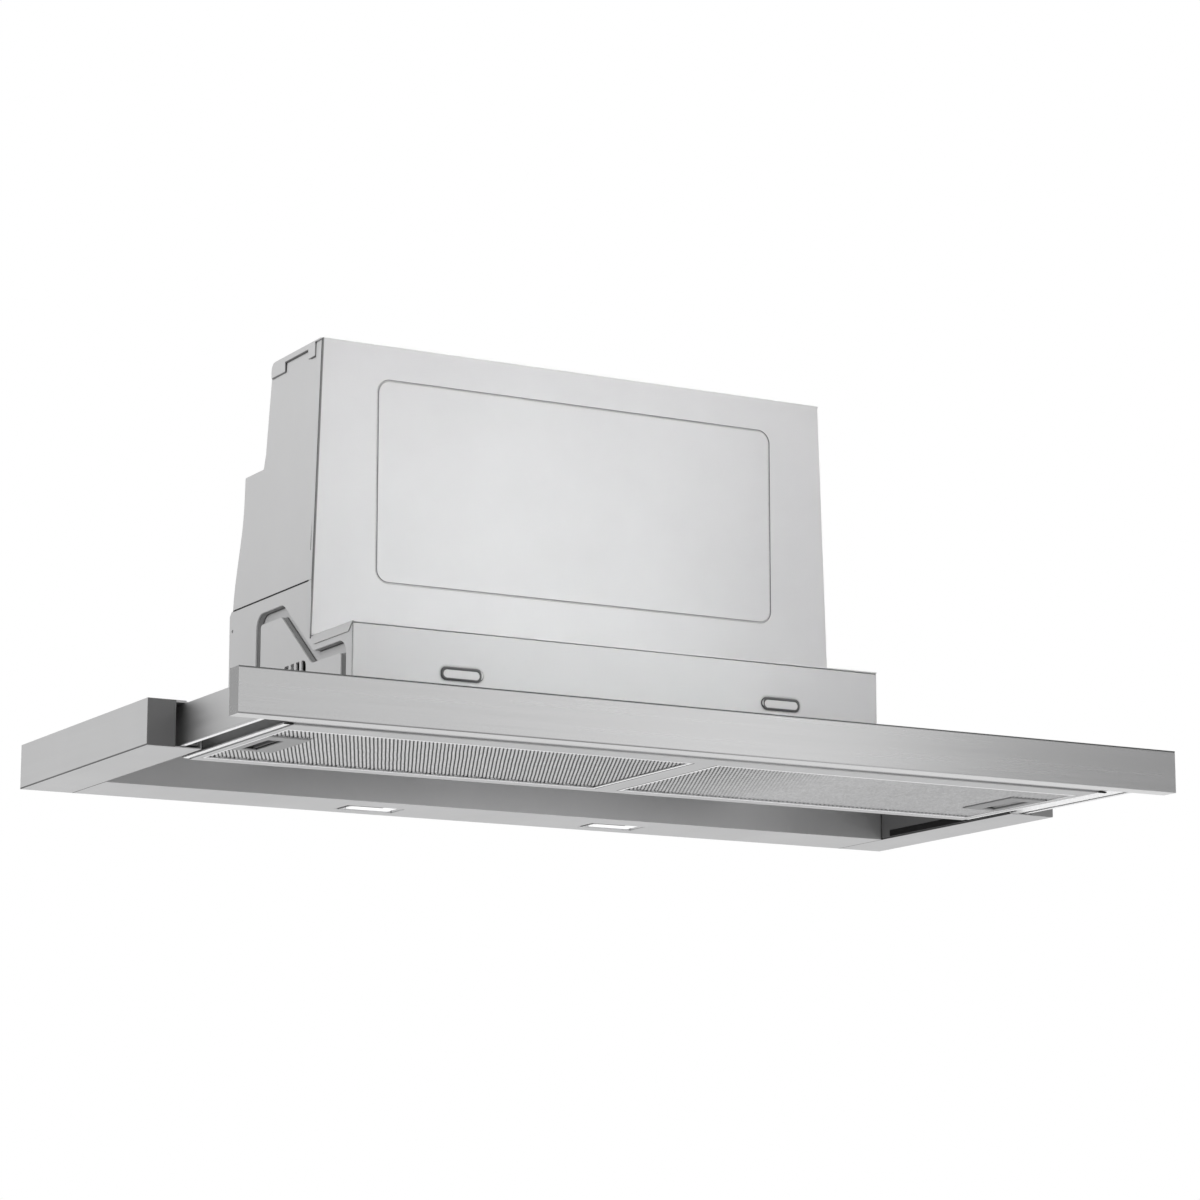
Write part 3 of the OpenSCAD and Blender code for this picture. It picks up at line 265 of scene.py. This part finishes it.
def zinc(name, level, metal=0.85, rough=0.42, edge=0.0005):
    """Zinc coated sheet: soft spangle, a few duller patches and a painted highlight along its edges."""
    m, t, b = start(name)
    co = add(t, "TexCoord").outputs["Object"]
    cells = add(t, "TexVoronoi", {"Vector": co, "Scale": 160.0, "Randomness": 1.0}).outputs["Color"]
    spangle = add(t, "RGBToBW", {"Color": cells}).outputs[0]
    cloud = noise(t, co, 14.0, 4.0, 0.6)
    mix = blend(t, spangle, cloud, 0.3)
    edge_glint = edge_mask(t, edge)
    base = tone(t, spread(t, mix, 0.0, 1.0, 0.25, 0.75), level * 0.93, level * 1.05)
    # Painted highlight: edges lightened towards a paler grey
    edge_lit = over(t, math_node(t, "MULTIPLY", edge_glint, 0.3), base, grey(min(0.95, level * 1.25)))
    r = spread(t, mix, rough - 0.07, rough + 0.07, 0.25, 0.75)
    n = bump(t, mix, 0.05, 0.0003, round_edges(t, edge))
    link(t, b, Base_Color=edge_lit, Roughness=r, Normal=n)
    b.inputs["Metallic"].default_value = metal
    return m


def moulded(name, level, rough=0.5, grain=0.15, grain_size=2600.0, edge=0.0008, edge_glint_by=0.25, gaps=0.3,
            glow=0.0, corner=False):
    """Moulded plastic or powder paint: fine grain, cloudy gloss, softened edges lit by a painted highlight.

    gaps: tone of the painted shade in its creases; corner: painted shade along the joint between the upper
    cover's returns and the housing's sides.
    A nearly black one also gets little gloss.
    """
    m, t, b = start(name)
    co = add(t, "TexCoord").outputs["Object"]
    fine = noise(t, co, grain_size, 2.0, 0.6)
    cloud = noise(t, co, 7.0, 4.0, 0.6)
    edge_glint = edge_mask(t, edge)
    lo = grey(level)
    dark = tuple(c * 0.965 for c in lo[:3]) + (1.0,)
    light = tuple(min(1.0, c * 1.03) for c in lo[:3]) + (1.0,)
    base = tone(t, spread(t, cloud, 0.0, 1.0, 0.3, 0.7), dark, light)
    # Painted highlight: edges lightened towards a paler grey
    rim = tuple(min(0.95, c + edge_glint_by * (0.9 - c) * 0.5) for c in lo[:3]) + (1.0,)
    edge_lit = over(t, math_node(t, "MULTIPLY", edge_glint, edge_glint_by), base, rim)
    r = math_node(t, "ADD", spread(t, cloud, rough - 0.04, rough + 0.05, 0.3, 0.7),
                  spread(t, fine, -0.04, 0.04, 0.3, 0.7))
    n = bump(t, fine, grain, 0.0001, round_edges(t, edge))
    shades = [crevice_shade(t, gaps, shut=0.5, wide=0.92) if corner else crevice_shade(t, gaps)]
    # Painted shade along the cover's joint with the housing's sides, at its rear edge and its left front
    # corner
    if corner:
        _, y, z = sides(t)
        look = add(t, "SeparateXYZ", {"Vector": add(t, "NewGeometry").outputs["Normal"]}).outputs["X"]
        edge_on = spread(t, math_node(t, "ABSOLUTE", look), 0.0, 1.0, 0.5, 0.7)
        high = spread(t, z, 0.0, 1.0, *COVER_FOOT)
        rear = math_node(t, "MULTIPLY", edge_on, spread(t, y, 1.0, 0.0, *COVER_REAR))
        # The cover narrows upwards; its left front corner carries the same painted shade
        brim = add(t, "Math", {0: z, 1: CORNER_LEAN, 2: CORNER_X}, operation="MULTIPLY_ADD").outputs[0]
        signed = add(t, "SeparateXYZ", {"Vector": co}).outputs["X"]
        front = spread(t, math_node(t, "SUBTRACT", signed, brim), 1.0, 0.0, *CORNER_SHADE_SPAN)
        seal = math_node(t, "MULTIPLY", high, math_node(t, "MAXIMUM", rear, front))
        shades.append(spread(t, seal, 1.0, CORNER_SHADE_TONE))
    link(t, b, Base_Color=shaded(t, edge_lit, *shades), Roughness=r, Normal=n)
    if level < 0.02:
        b.inputs["Specular IOR Level"].default_value = 0.12
    # Emission: a lamp's light, and painted light on a part that is no lamp
    if glow:
        b.inputs["Emission Color"].default_value = (1.0, 1.0, 1.0, 1.0)
        b.inputs["Emission Strength"].default_value = glow
    return m


def expanded(name, bright, dark, lean, pitch):
    """Expanded aluminium: dark stripes, painted shade of the folds, that lean off the folds' line, with a fine
    weave between them.

    pitch: from stripe to stripe. The stripes fade, and all of it darkens as painted shade, towards the hood's
    right.
    """
    m, t, b = start(name)
    co = add(t, "TexCoord").outputs["Object"]
    drift = noise(t, co, 25.0, 2.0, 0.5)
    turned = add(t, "VectorMath", {0: co, 1: (math.cos(lean) / pitch, -math.sin(lean) / pitch, 0.0)},
                 operation="DOT_PRODUCT").outputs["Value"]
    turn = math_node(t, "ADD", turned, spread(t, drift, -0.08, 0.08, 0.2, 0.8))
    wave = math_node(t, "COSINE", math_node(t, "MULTIPLY", turn, 2 * math.pi))
    signed = add(t, "SeparateXYZ", {"Vector": co}).outputs["X"]
    # Painted shade of the folds: dark stripes, fading towards the hood's right
    depth = math_node(t, "MULTIPLY", spread(t, wave, 0.0, 1.0, -0.1, 0.85),
                      spread(t, signed, 1.0, 0.0, 0.02, 0.15))
    cells = add(t, "TexVoronoi", {"Vector": stretched(t, co, (1.0, 0.6, 1.0)), "Scale": 900.0},
                feature="DISTANCE_TO_EDGE").outputs["Distance"]
    wires = spread(t, cells, 0.0, 1.0, 0.02, 0.16)
    rub = noise(t, co, 60.0, 3.0, 0.6)
    grit = noise(t, stretched(t, co, (1.0, 0.45, 1.0)), 420.0, 2.0, 0.7)
    weave = spread(t, blend(t, rub, grit, 0.4), 0.0, 1.0, 0.35, 0.65)
    lit = tone(t, weave, bright * 0.82, bright * 1.12)
    # Painted shade: darker towards the hood's right
    lit = shaded(t, lit, spread(t, signed, 1.05, 0.80, -0.2, 0.25))
    holes = over(t, math_node(t, "MULTIPLY", wires, 0.30), lit, grey(bright * 0.55))
    base = over(t, depth, holes, grey(dark))
    r = spread(t, rub, 0.34, 0.48, 0.3, 0.7)
    n = bump(t, cells, 0.25, 0.0003)
    link(t, b, Base_Color=base, Roughness=r, Normal=n)
    b.inputs["Metallic"].default_value = 0.7
    return m


M = {
    "brushed_steel": brushed("brushed_steel", 0.78, rough=0.27, streak=0.028, relief=0.0, pull=0.85,
                             edge=0.0006, edge_light=0.3, vary=0.006, ends=0.36, under=0.86, rim=0.0016,
                             fineness=420.0, cloudy=0.001),
    "grey_paint": brushed("satin_steel", 0.62, "y", rough=0.5, streak=0.02, relief=0.03, pull=0.3,
                          edge=0.0007, edge_light=0.75, ends=0.905, seams=True),
    "housing": moulded("housing_plastic", 0.62, 0.45, gaps=0.10),
    "housing_cover": moulded("cover_paint", 0.628, 0.40, grain=0.06, gaps=0.06, corner=True),
    "galvanised": zinc("galvanised", 0.50),
    "rail_steel": brushed("rail_steel", 0.50, "y", rough=0.36, streak=0.06),
    "dark_plastic": moulded("dark_plastic", 0.045, 0.5),
    "cap_plastic": moulded("cap_plastic", 0.095, 0.55, grain=0.2),
    "button_plastic": moulded("button_plastic", 0.42, 0.45),
    "lamp_white": moulded("lamp_white", 0.82, 0.22, grain=0.03),
    "lamp_lens": moulded("lamp_lens", 0.90, 0.25, grain=0.03, glow=0.34),
    "filter_aluminium": brushed("filter_aluminium", 0.76, "x", rough=0.40, streak=0.04, pull=0.3),
    # Brighter copy of the filter aluminium: painted highlight on the filter frames
    "filter_edge": brushed("filter_edge", 0.95, "y", rough=0.30, streak=0.03, relief=0.02, pull=0.3,
                           gaps=0.8),
    "filter_mesh": expanded("filter_mesh", 0.72, 0.012, math.radians(25.7), 0.0032),
    "grip_plastic": moulded("grip_plastic", 0.31, 0.5),
    "motor_steel": moulded("motor_steel", 0.10, 0.35, grain=0.05),
    "module_plastic": moulded("module_plastic", 0.72, 0.4),
    # Near-black for dark joints, and with the next two, dark pieces that stand in for shade: painted shade
    "black_seal": moulded("black_seal", 0.012, 0.6),
    "shade_sheet": moulded("shade_sheet", 0.12, 0.5),
    "channel_shade_sheet": moulded("channel_shade_sheet", 0.30, 0.5, gaps=0.6),
    # Lighter copy of the cap plastic: painted light on the right cap, and a grey for strips of painted shade
    "cap_lit_grey": moulded("cap_lit_grey", 0.20, 0.5),
    # Darker copy of the housing plastic: painted shade in the side recesses
    "recess_shade_plastic": moulded("recess_shade_plastic", 0.36, 0.45, gaps=0.3),
    # Glowing pale strip: painted light in the rail space
    "glowing_guide": moulded("glowing_guide", 0.88, 0.4, gaps=1.0, glow=0.45),
    # Lighter copy of steel with no crease shade: painted highlight on the channel's flanges
    "bright_trim": brushed("bright_trim", 0.84, "y", rough=0.25, streak=0.02, relief=0.01, gaps=1.0),
}

for sub in frame["record"]["subparts"]:
    o = nodes.get(sub["node"])
    mat = M.get(sub["material_slot"])
    if o is None or mat is None:
        continue
    o.data.materials.clear()
    o.data.materials.append(mat)
# Side recesses in a darker plastic as painted shade; filter frames in a brighter aluminium as painted
# highlight
for word in ("left", "right"):
    nodes["side_channel_" + word].data.materials[0] = M["recess_shade_plastic"]
    nodes["filter_frame_" + word].data.materials[0] = M["filter_edge"]


# Details over the CAD model

SIDES = ((-1, "left"), (1, "right"))


def piece(name, bm, mat, body, smooth=True):
    """A mesh of its own that rides on a body."""
    mesh = bpy.data.meshes.new(name)
    bm.to_mesh(mesh)
    bm.free()
    mesh.materials.append(M[mat])
    mesh.polygons.foreach_set("use_smooth", [smooth] * len(mesh.polygons))
    o = bpy.data.objects.new(name, mesh)
    bpy.context.scene.collection.objects.link(o)
    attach(o, body)
    return o


def bar(name, x, y, z, mat, body, r=0.25):
    """Strip with edges rolled at r; x, y and z are spans in the CAD model's own mm."""
    spans = [sorted(x), sorted(v + MID for v in y), sorted(z)]
    bm = bmesh.new()
    bmesh.ops.create_cube(bm, size=1.0)
    for v in bm.verts:
        v.co = Vector([(s[0] + (c + 0.5) * (s[1] - s[0])) * MM for s, c in zip(spans, v.co)])
    bmesh.ops.bevel(bm, geom=bm.edges[:], offset=r * MM, segments=3, profile=0.5, affect="EDGES")
    return piece(name, bm, mat, body, smooth=False)


def pair_of(name, x, y, z, mat, body, r=0.25):
    """The same strip on both sides of the hood."""
    bar(name + "_left", [-v for v in x], y, z, mat, body, r)
    bar(name + "_right", x, y, z, mat, body, r)


def rolled(points, r, n=6):
    """The line through points with its corners rounded at radius r."""
    out = [Vector(points[0])]
    for a, b, c in zip(points, points[1:], points[2:]):
        a, b, c = Vector(a), Vector(b), Vector(c)
        u, w = (a - b).normalized(), (c - b).normalized()
        half = math.acos(max(-1.0, min(1.0, u.dot(w)))) / 2
        cut = r / math.tan(half)
        p, q = b + u * cut, b + w * cut
        mid = b + (u + w).normalized() * (r / math.sin(half))
        for i in range(n + 1):
            d = (p - mid).lerp(q - mid, i / n)
            out.append(mid + d.normalized() * r)
    out.append(Vector(points[-1]))
    return out


def trough(name, side, face, depth, dish, width, points, r, mat, body):
    """Dished strip on the floor of a recess in the side wall; points are (y, z) in the CAD model's mm."""
    cells, thick = 6, 0.0008
    line = rolled(points, r)
    rows = []
    for i, p in enumerate(line):
        d = (line[min(i + 1, len(line) - 1)] - line[max(i - 1, 0)]).normalized()
        across = Vector((-d.y, d.x))
        row = []
        for k in range(cells + 1):
            t = k / cells - 0.5
            q = p + across * (t * width)
            x = side * (face - depth - dish * (1 - (2 * t) ** 2))
            row.append(Vector((x, q.x + MID, q.y)) * MM)
        rows.append(row)
    bm = bmesh.new()
    top = [[bm.verts.new(v) for v in row] for row in rows]
    low = [[bm.verts.new(v - Vector((side * thick, 0, 0))) for v in row] for row in rows]
    for a, b, flip in ((top[:-1], top[1:], False), (low[:-1], low[1:], True)):
        for ra, rb in zip(a, b):
            for k in range(cells):
                quad = [ra[k], ra[k + 1], rb[k + 1], rb[k]]
                bm.faces.new(quad[::-1] if flip else quad)
    for i in range(len(rows) - 1):
        for k in (0, cells):
            bm.faces.new([top[i][k], top[i + 1][k], low[i + 1][k], low[i][k]])
    for i in (0, len(rows) - 1):
        for k in range(cells):
            bm.faces.new([top[i][k], top[i][k + 1], low[i][k + 1], low[i][k]])
    bmesh.ops.recalc_face_normals(bm, faces=bm.faces[:])
    return piece(name, bm, mat, body)


def ring(name, centre, y, inner, outer, r_in, r_out, shift, mat, body):
    """Flat ring around a rounded tab, as painted shade of the groove round it.

    inner, outer: half sizes in x and z; shift: how far the outer line is moved.
    """
    steps, outer_fall, inner_fall = 8, 0.5, 0.3

    def loop(half, r, off, depth):
        pts = []
        for qx, qz in ((1, 1), (-1, 1), (-1, -1), (1, -1)):
            for i in range(steps + 1):
                a = math.atan2(qz, qx) - math.pi / 4 + i * math.pi / (2 * steps)
                pts.append(Vector((centre[0] + off[0] + qx * (half[0] - r) + r * math.cos(a), depth + MID,
                                   centre[1] + off[1] + qz * (half[1] - r) + r * math.sin(a))) * MM)
        return [bm.verts.new(p) for p in pts]

    bm = bmesh.new()
    mid = tuple((a + b) / 2 for a, b in zip(inner, outer))
    half_shift = tuple(v / 2 for v in shift)
    loops = [loop(outer, r_out, shift, y[1]),
             loop(outer, r_out, shift, y[0] + outer_fall),
             loop(mid, (r_in + r_out) / 2, half_shift, y[0]),
             loop(inner, r_in, (0, 0), y[0] + inner_fall),
             loop(inner, r_in, (0, 0), y[1])]
    for a, b in zip(loops, loops[1:] + loops[:1]):
        for i in range(len(a)):
            j = (i + 1) % len(a)
            bm.faces.new([a[i], a[j], b[j], b[i]])
    bmesh.ops.recalc_face_normals(bm, faces=bm.faces[:])
    return piece(name, bm, mat, body)


RECESS = [(-84, 49), (-84, 153.6), (-135, 153.6), (-199.4, 102.8), (-262, 102.8), (-262, 49)]
for side, word in SIDES:
    trough("recess_bed_" + word, side, face=262.0, depth=6.2, dish=1.4, width=10.2, points=RECESS, r=8.5,
           mat="housing", body="housing")

# Base: cap faces, the right one in a lighter grey as painted light, and dark strips and sheets as painted
# shade at the housing's joint, in the rail space and behind the windows
bar("cap_face_left", (-448.9, -424.2), (-290.9, -290.0), (0.4, 38.8), "cap_plastic", "housing", 0.4)
bar("cap_face_right", (424.2, 448.9), (-290.9, -290.0), (0.4, 38.8), "cap_lit_grey", "housing", 0.4)
pair_of("joint_shade_strip", (261.6, 262.3), (-189.0, -27.5), (170.7, 172.1), "black_seal", "housing")
pair_of("wall_shade_sheet", (400.3, 400.9), (-288.5, -79.0), (1.3, 30.0), "shade_sheet", "housing")
pair_of("wall_shade_strip", (399.7, 400.3), (-288.5, -93.0), (1.5, 7.5), "black_seal", "housing")
# Dark strips round the notch in the housing's top flange: painted shade of its edges
pair_of("flange_shade_rear", (256.2, 256.9), (-121.5, -92.5), (372.9, 373.8), "cap_lit_grey", "housing", 0.15)
pair_of("flange_shade_step", (256.2, 257.0), (-122.3, -121.0), (373.0, 382.6), "cap_plastic", "housing", 0.15)
pair_of("flange_shade_long", (256.2, 257.0), (-169.5, -121.5), (381.3, 382.6), "cap_plastic", "housing", 0.15)
pair_of("flange_shade_front", (256.2, 256.9), (-184.2, -175.5), (372.7, 373.8), "cap_plastic", "housing", 0.15)
pair_of("window_shade_screen", (246.6, 247.4), (-190.0, -137.0), (47.0, 108.0), "black_seal", "housing")

# Pull-out: rail space with a dark sheet as painted shade, a glowing strip as painted light and trims in a
# lighter steel as painted highlight; black pieces as painted shade in the tray's corner gaps
pair_of("channel_shade_sheet", (389.6, 389.9), (-454.5, -235.0), (2.6, 34.0), "channel_shade_sheet", "pullout", 0.1)
pair_of("channel_guide", (416.2, 416.95), (-454.5, -235.0), (2.6, 8.0), "glowing_guide", "pullout", 0.2)
pair_of("channel_trim_outer", (416.0, 419.9), (-455.0, -233.8), (1.15, 2.3), "bright_trim", "pullout")
pair_of("channel_trim_inner", (388.4, 393.9), (-440.0, -233.8), (0.8, 1.5), "bright_trim", "pullout")
pair_of("corner_gap_shade", (388.6, 396.0), (-443.2, -440.4), (0.1, 1.3), "black_seal", "pullout")

# Dark joint between each filter and the divider
pair_of("filter_seal", (10.6, 11.9), (-418.5, -246.0), (0.05, 2.0), "black_seal", "pullout")

# Tabs on the lower cover, each in a dark ring that paints the shade of the groove round it
for side, word in SIDES:
    ring("tab_shade_ring_" + word, centre=(side * 160.0 - 0.6, 83.0), y=(-282.9, -281.0), inner=(17.2, 3.6),
         outer=(19.2, 5.6), r_in=3.5, r_out=4.4, shift=(0.3, 0.4), mat="cap_plastic", body="housing")

# Lamps: diffusers almost flush with the strip, and dark bars inside the opening at one end and in front,
# painted shade of its edges
LAMP_X = 126
for side, word in SIDES:
    c = side * LAMP_X
    bar("lamp_diffuser_" + word, (c - 18.5, c + 23.5), (-43.5, -20.5), (0.6, 2.6), "lamp_lens", "housing", 0.8)
    bar("lamp_edge_shade_%s_end" % word, (c - 26.4, c - 24.8), (-44.4, -19.6), (0.03, 1.2),
        "cap_plastic", "housing", 0.15)
    bar("lamp_edge_shade_%s_front" % word, (c - 26.0, c + 8.0), (-44.4, -43.1), (0.03, 0.5),
        "cap_lit_grey", "housing", 0.15)

# Filters: scoop behind each grip's slot, rising inwards
SCOOP_STEPS = 8
SCOOP_OUT, SCOOP_L = 372.5, 13.0
SCOOP_FOOT, SCOOP_RISE, SCOOP_T = 1.5, 6.2, 0.5
SCOOP_Y = (-358.0, -305.0)
for side, word in SIDES:
    bm = bmesh.new()
    rows = []
    for i in range(SCOOP_STEPS + 1):
        t = i / SCOOP_STEPS
        x = side * (SCOOP_OUT - SCOOP_L * t)
        z = SCOOP_FOOT + SCOOP_RISE * math.sin(t * math.pi / 2) ** 2
        rows.append([bm.verts.new(Vector((x, y + MID, z + lift)) * MM) for y in SCOOP_Y
                     for lift in (0.0, SCOOP_T)])
    for a, b in zip(rows, rows[1:]):
        for j, k in ((0, 2), (2, 3), (3, 1), (1, 0)):
            bm.faces.new([a[j], a[k], b[k], b[j]])
    for row in (rows[0], rows[-1]):
        bm.faces.new([row[0], row[2], row[3], row[1]])
    bmesh.ops.recalc_face_normals(bm, faces=bm.faces[:])
    piece("grip_scoop_" + word, bm, "grip_plastic", "filter_" + word)


# Stage, light and camera

FLOOR_Z, FLOOR_SIZE = -1.6, 60
WALL_AWAY, WALL_HALF, WALL_FOOT, WALL_TOP = 4.5, 8.0, -1.5, 7

# Greys across the wall, as x in m and brightness
WALL_GREYS = [(-6.0, 0.50), (1.3, 0.56), (2.3, 0.76), (2.75, 1.0), (2.95, 0.96), (3.25, 0.38), (3.8, 0.30),
              (5.0, 0.30)]

# Fitted to the straight edges of the photograph
CAMERA_AT = (-1.55412, -2.78484, -0.45235)
CAMERA_UP, CAMERA_TURN = 11.06, -29.16
CAMERA_LENS = 109.903


def seen_ray(t):
    """1 for a ray of the camera, of gloss or of transmission."""
    path = add(t, "LightPath")
    return math_node(t, "MAXIMUM", math_node(t, "MAXIMUM", path.outputs["Is Camera Ray"],
                                             path.outputs["Is Glossy Ray"]),
                     path.outputs["Is Transmission Ray"])


def stage_floor():
    """Pale floor, well below the hood; further off the camera and metal see it as white."""
    m = bpy.data.materials.new("floor_pale")
    m.use_nodes = True
    t = m.node_tree
    t.nodes.clear()
    out = t.nodes.new("ShaderNodeOutputMaterial")
    co = add(t, "TexCoord").outputs["Object"]
    cloud = noise(t, co, 1.5, 3.0, 0.5)
    pale = add(t, "BsdfDiffuse", {"Color": tone(t, cloud, 0.80, 0.84)}).outputs[0]
    white = add(t, "Emission", {"Color": (1, 1, 1, 1), "Strength": 1.0}).outputs[0]
    away = add(t, "VectorMath", {0: co}, operation="LENGTH").outputs["Value"]
    far = spread(t, away, 0.0, 1.0, 0.9, 2.8)
    both = add(t, "MixShader", {0: math_node(t, "MULTIPLY", far, seen_ray(t)), 1: pale, 2: white}).outputs[0]
    t.links.new(both, out.inputs["Surface"])
    bpy.ops.mesh.primitive_plane_add(size=FLOOR_SIZE, location=(0, 0, FLOOR_Z))
    o = bpy.context.object
    o.name = "floor"
    o.data.materials.append(m)


def front_wall(stops):
    """Studio wall behind the camera. Only gloss sees it: white in the middle, grey towards its ends."""
    m = bpy.data.materials.new("wall_greys")
    m.use_nodes = True
    t = m.node_tree
    t.nodes.clear()
    out = t.nodes.new("ShaderNodeOutputMaterial")
    across = add(t, "SeparateXYZ", {"Vector": add(t, "TexCoord").outputs["Object"]}).outputs["X"]
    ramp = add(t, "ValToRGB", {"Fac": spread(t, across, 0.0, 1.0, -WALL_HALF, WALL_HALF)})
    ramp.color_ramp.interpolation = "EASE"
    points = ramp.color_ramp.elements
    while len(points) < len(stops):
        points.new(0.5)
    for e, (x, v) in zip(points, stops):
        e.position = (x + WALL_HALF) / (2 * WALL_HALF)
        e.color = (v, v, v, 1.0)
    glow = add(t, "Emission", {"Color": ramp.outputs["Color"], "Strength": 1.0}).outputs[0]
    t.links.new(glow, out.inputs["Surface"])
    mesh = bpy.data.meshes.new("front_wall")
    corners = [(-WALL_HALF, 0, WALL_FOOT), (WALL_HALF, 0, WALL_FOOT),
               (WALL_HALF, 0, WALL_TOP), (-WALL_HALF, 0, WALL_TOP)]
    mesh.from_pydata(corners, [], [(0, 1, 2, 3)])
    o = bpy.data.objects.new("front_wall", mesh)
    bpy.context.scene.collection.objects.link(o)
    o.location = (0, -WALL_AWAY, 0)
    mesh.materials.append(m)
    o.visible_camera = o.visible_diffuse = o.visible_shadow = o.visible_transmission = False


def area(name, place, target, size, watts):
    """Square lamp that gloss doesn't see."""
    d = bpy.data.lights.new(name, "AREA")
    d.energy = watts
    d.shape = "RECTANGLE"
    d.size = d.size_y = size
    o = bpy.data.objects.new(name, d)
    bpy.context.scene.collection.objects.link(o)
    o.location = place
    o.rotation_mode = "QUATERNION"
    o.rotation_quaternion = (Vector(target) - Vector(place)).to_track_quat("-Z", "Y")
    o.visible_glossy = False
    return o


def world():
    """Soft grey light all round, which the camera, gloss and transmission see as white."""
    w = bpy.data.worlds.new("studio")
    bpy.context.scene.world = w
    w.use_nodes = True
    t = w.node_tree
    t.nodes.clear()
    out = t.nodes.new("ShaderNodeOutputWorld")
    soft = add(t, "Background", {"Color": (1, 1, 1, 1), "Strength": 0.62}).outputs[0]
    white = add(t, "Background", {"Color": (1, 1, 1, 1), "Strength": 1.0}).outputs[0]
    mix = add(t, "MixShader", {0: seen_ray(t), 1: soft, 2: white}).outputs[0]
    t.links.new(mix, out.inputs["Surface"])


def camera():
    d = bpy.data.cameras.new("camera")
    d.sensor_fit = "HORIZONTAL"
    d.sensor_width = 36.0
    d.lens = CAMERA_LENS
    d.clip_start, d.clip_end = 0.05, 100.0
    o = bpy.data.objects.new("camera", d)
    bpy.context.scene.collection.objects.link(o)
    o.location = CAMERA_AT
    o.rotation_euler = (math.radians(90 + CAMERA_UP), 0.0, math.radians(CAMERA_TURN))
    bpy.context.scene.camera = o


stage_floor()
front_wall(WALL_GREYS)
area("key", place=(1.6, -3.4, 1.6), target=(0.0, 0.0, 0.15), size=2.2, watts=21)
pool = area("pool", place=(0.55, -2.3, 0.75), target=(-0.05, 0.03, 0.15), size=0.3, watts=0.33)
pool.data.spread = math.radians(18.5)
area("left", place=(-3.4, -0.8, 0.9), target=(-0.2, 0.0, 0.15), size=1.8, watts=25)
area("fill", place=(-1.1, -1.7, -1.2), target=(0.0, -0.1, 0.0), size=1.2, watts=16)
world()
camera()
bpy.context.scene.view_settings.view_transform = "Standard"

for o in nodes.values():
    o.data.polygons.foreach_set("use_smooth", [False] * len(o.data.polygons))
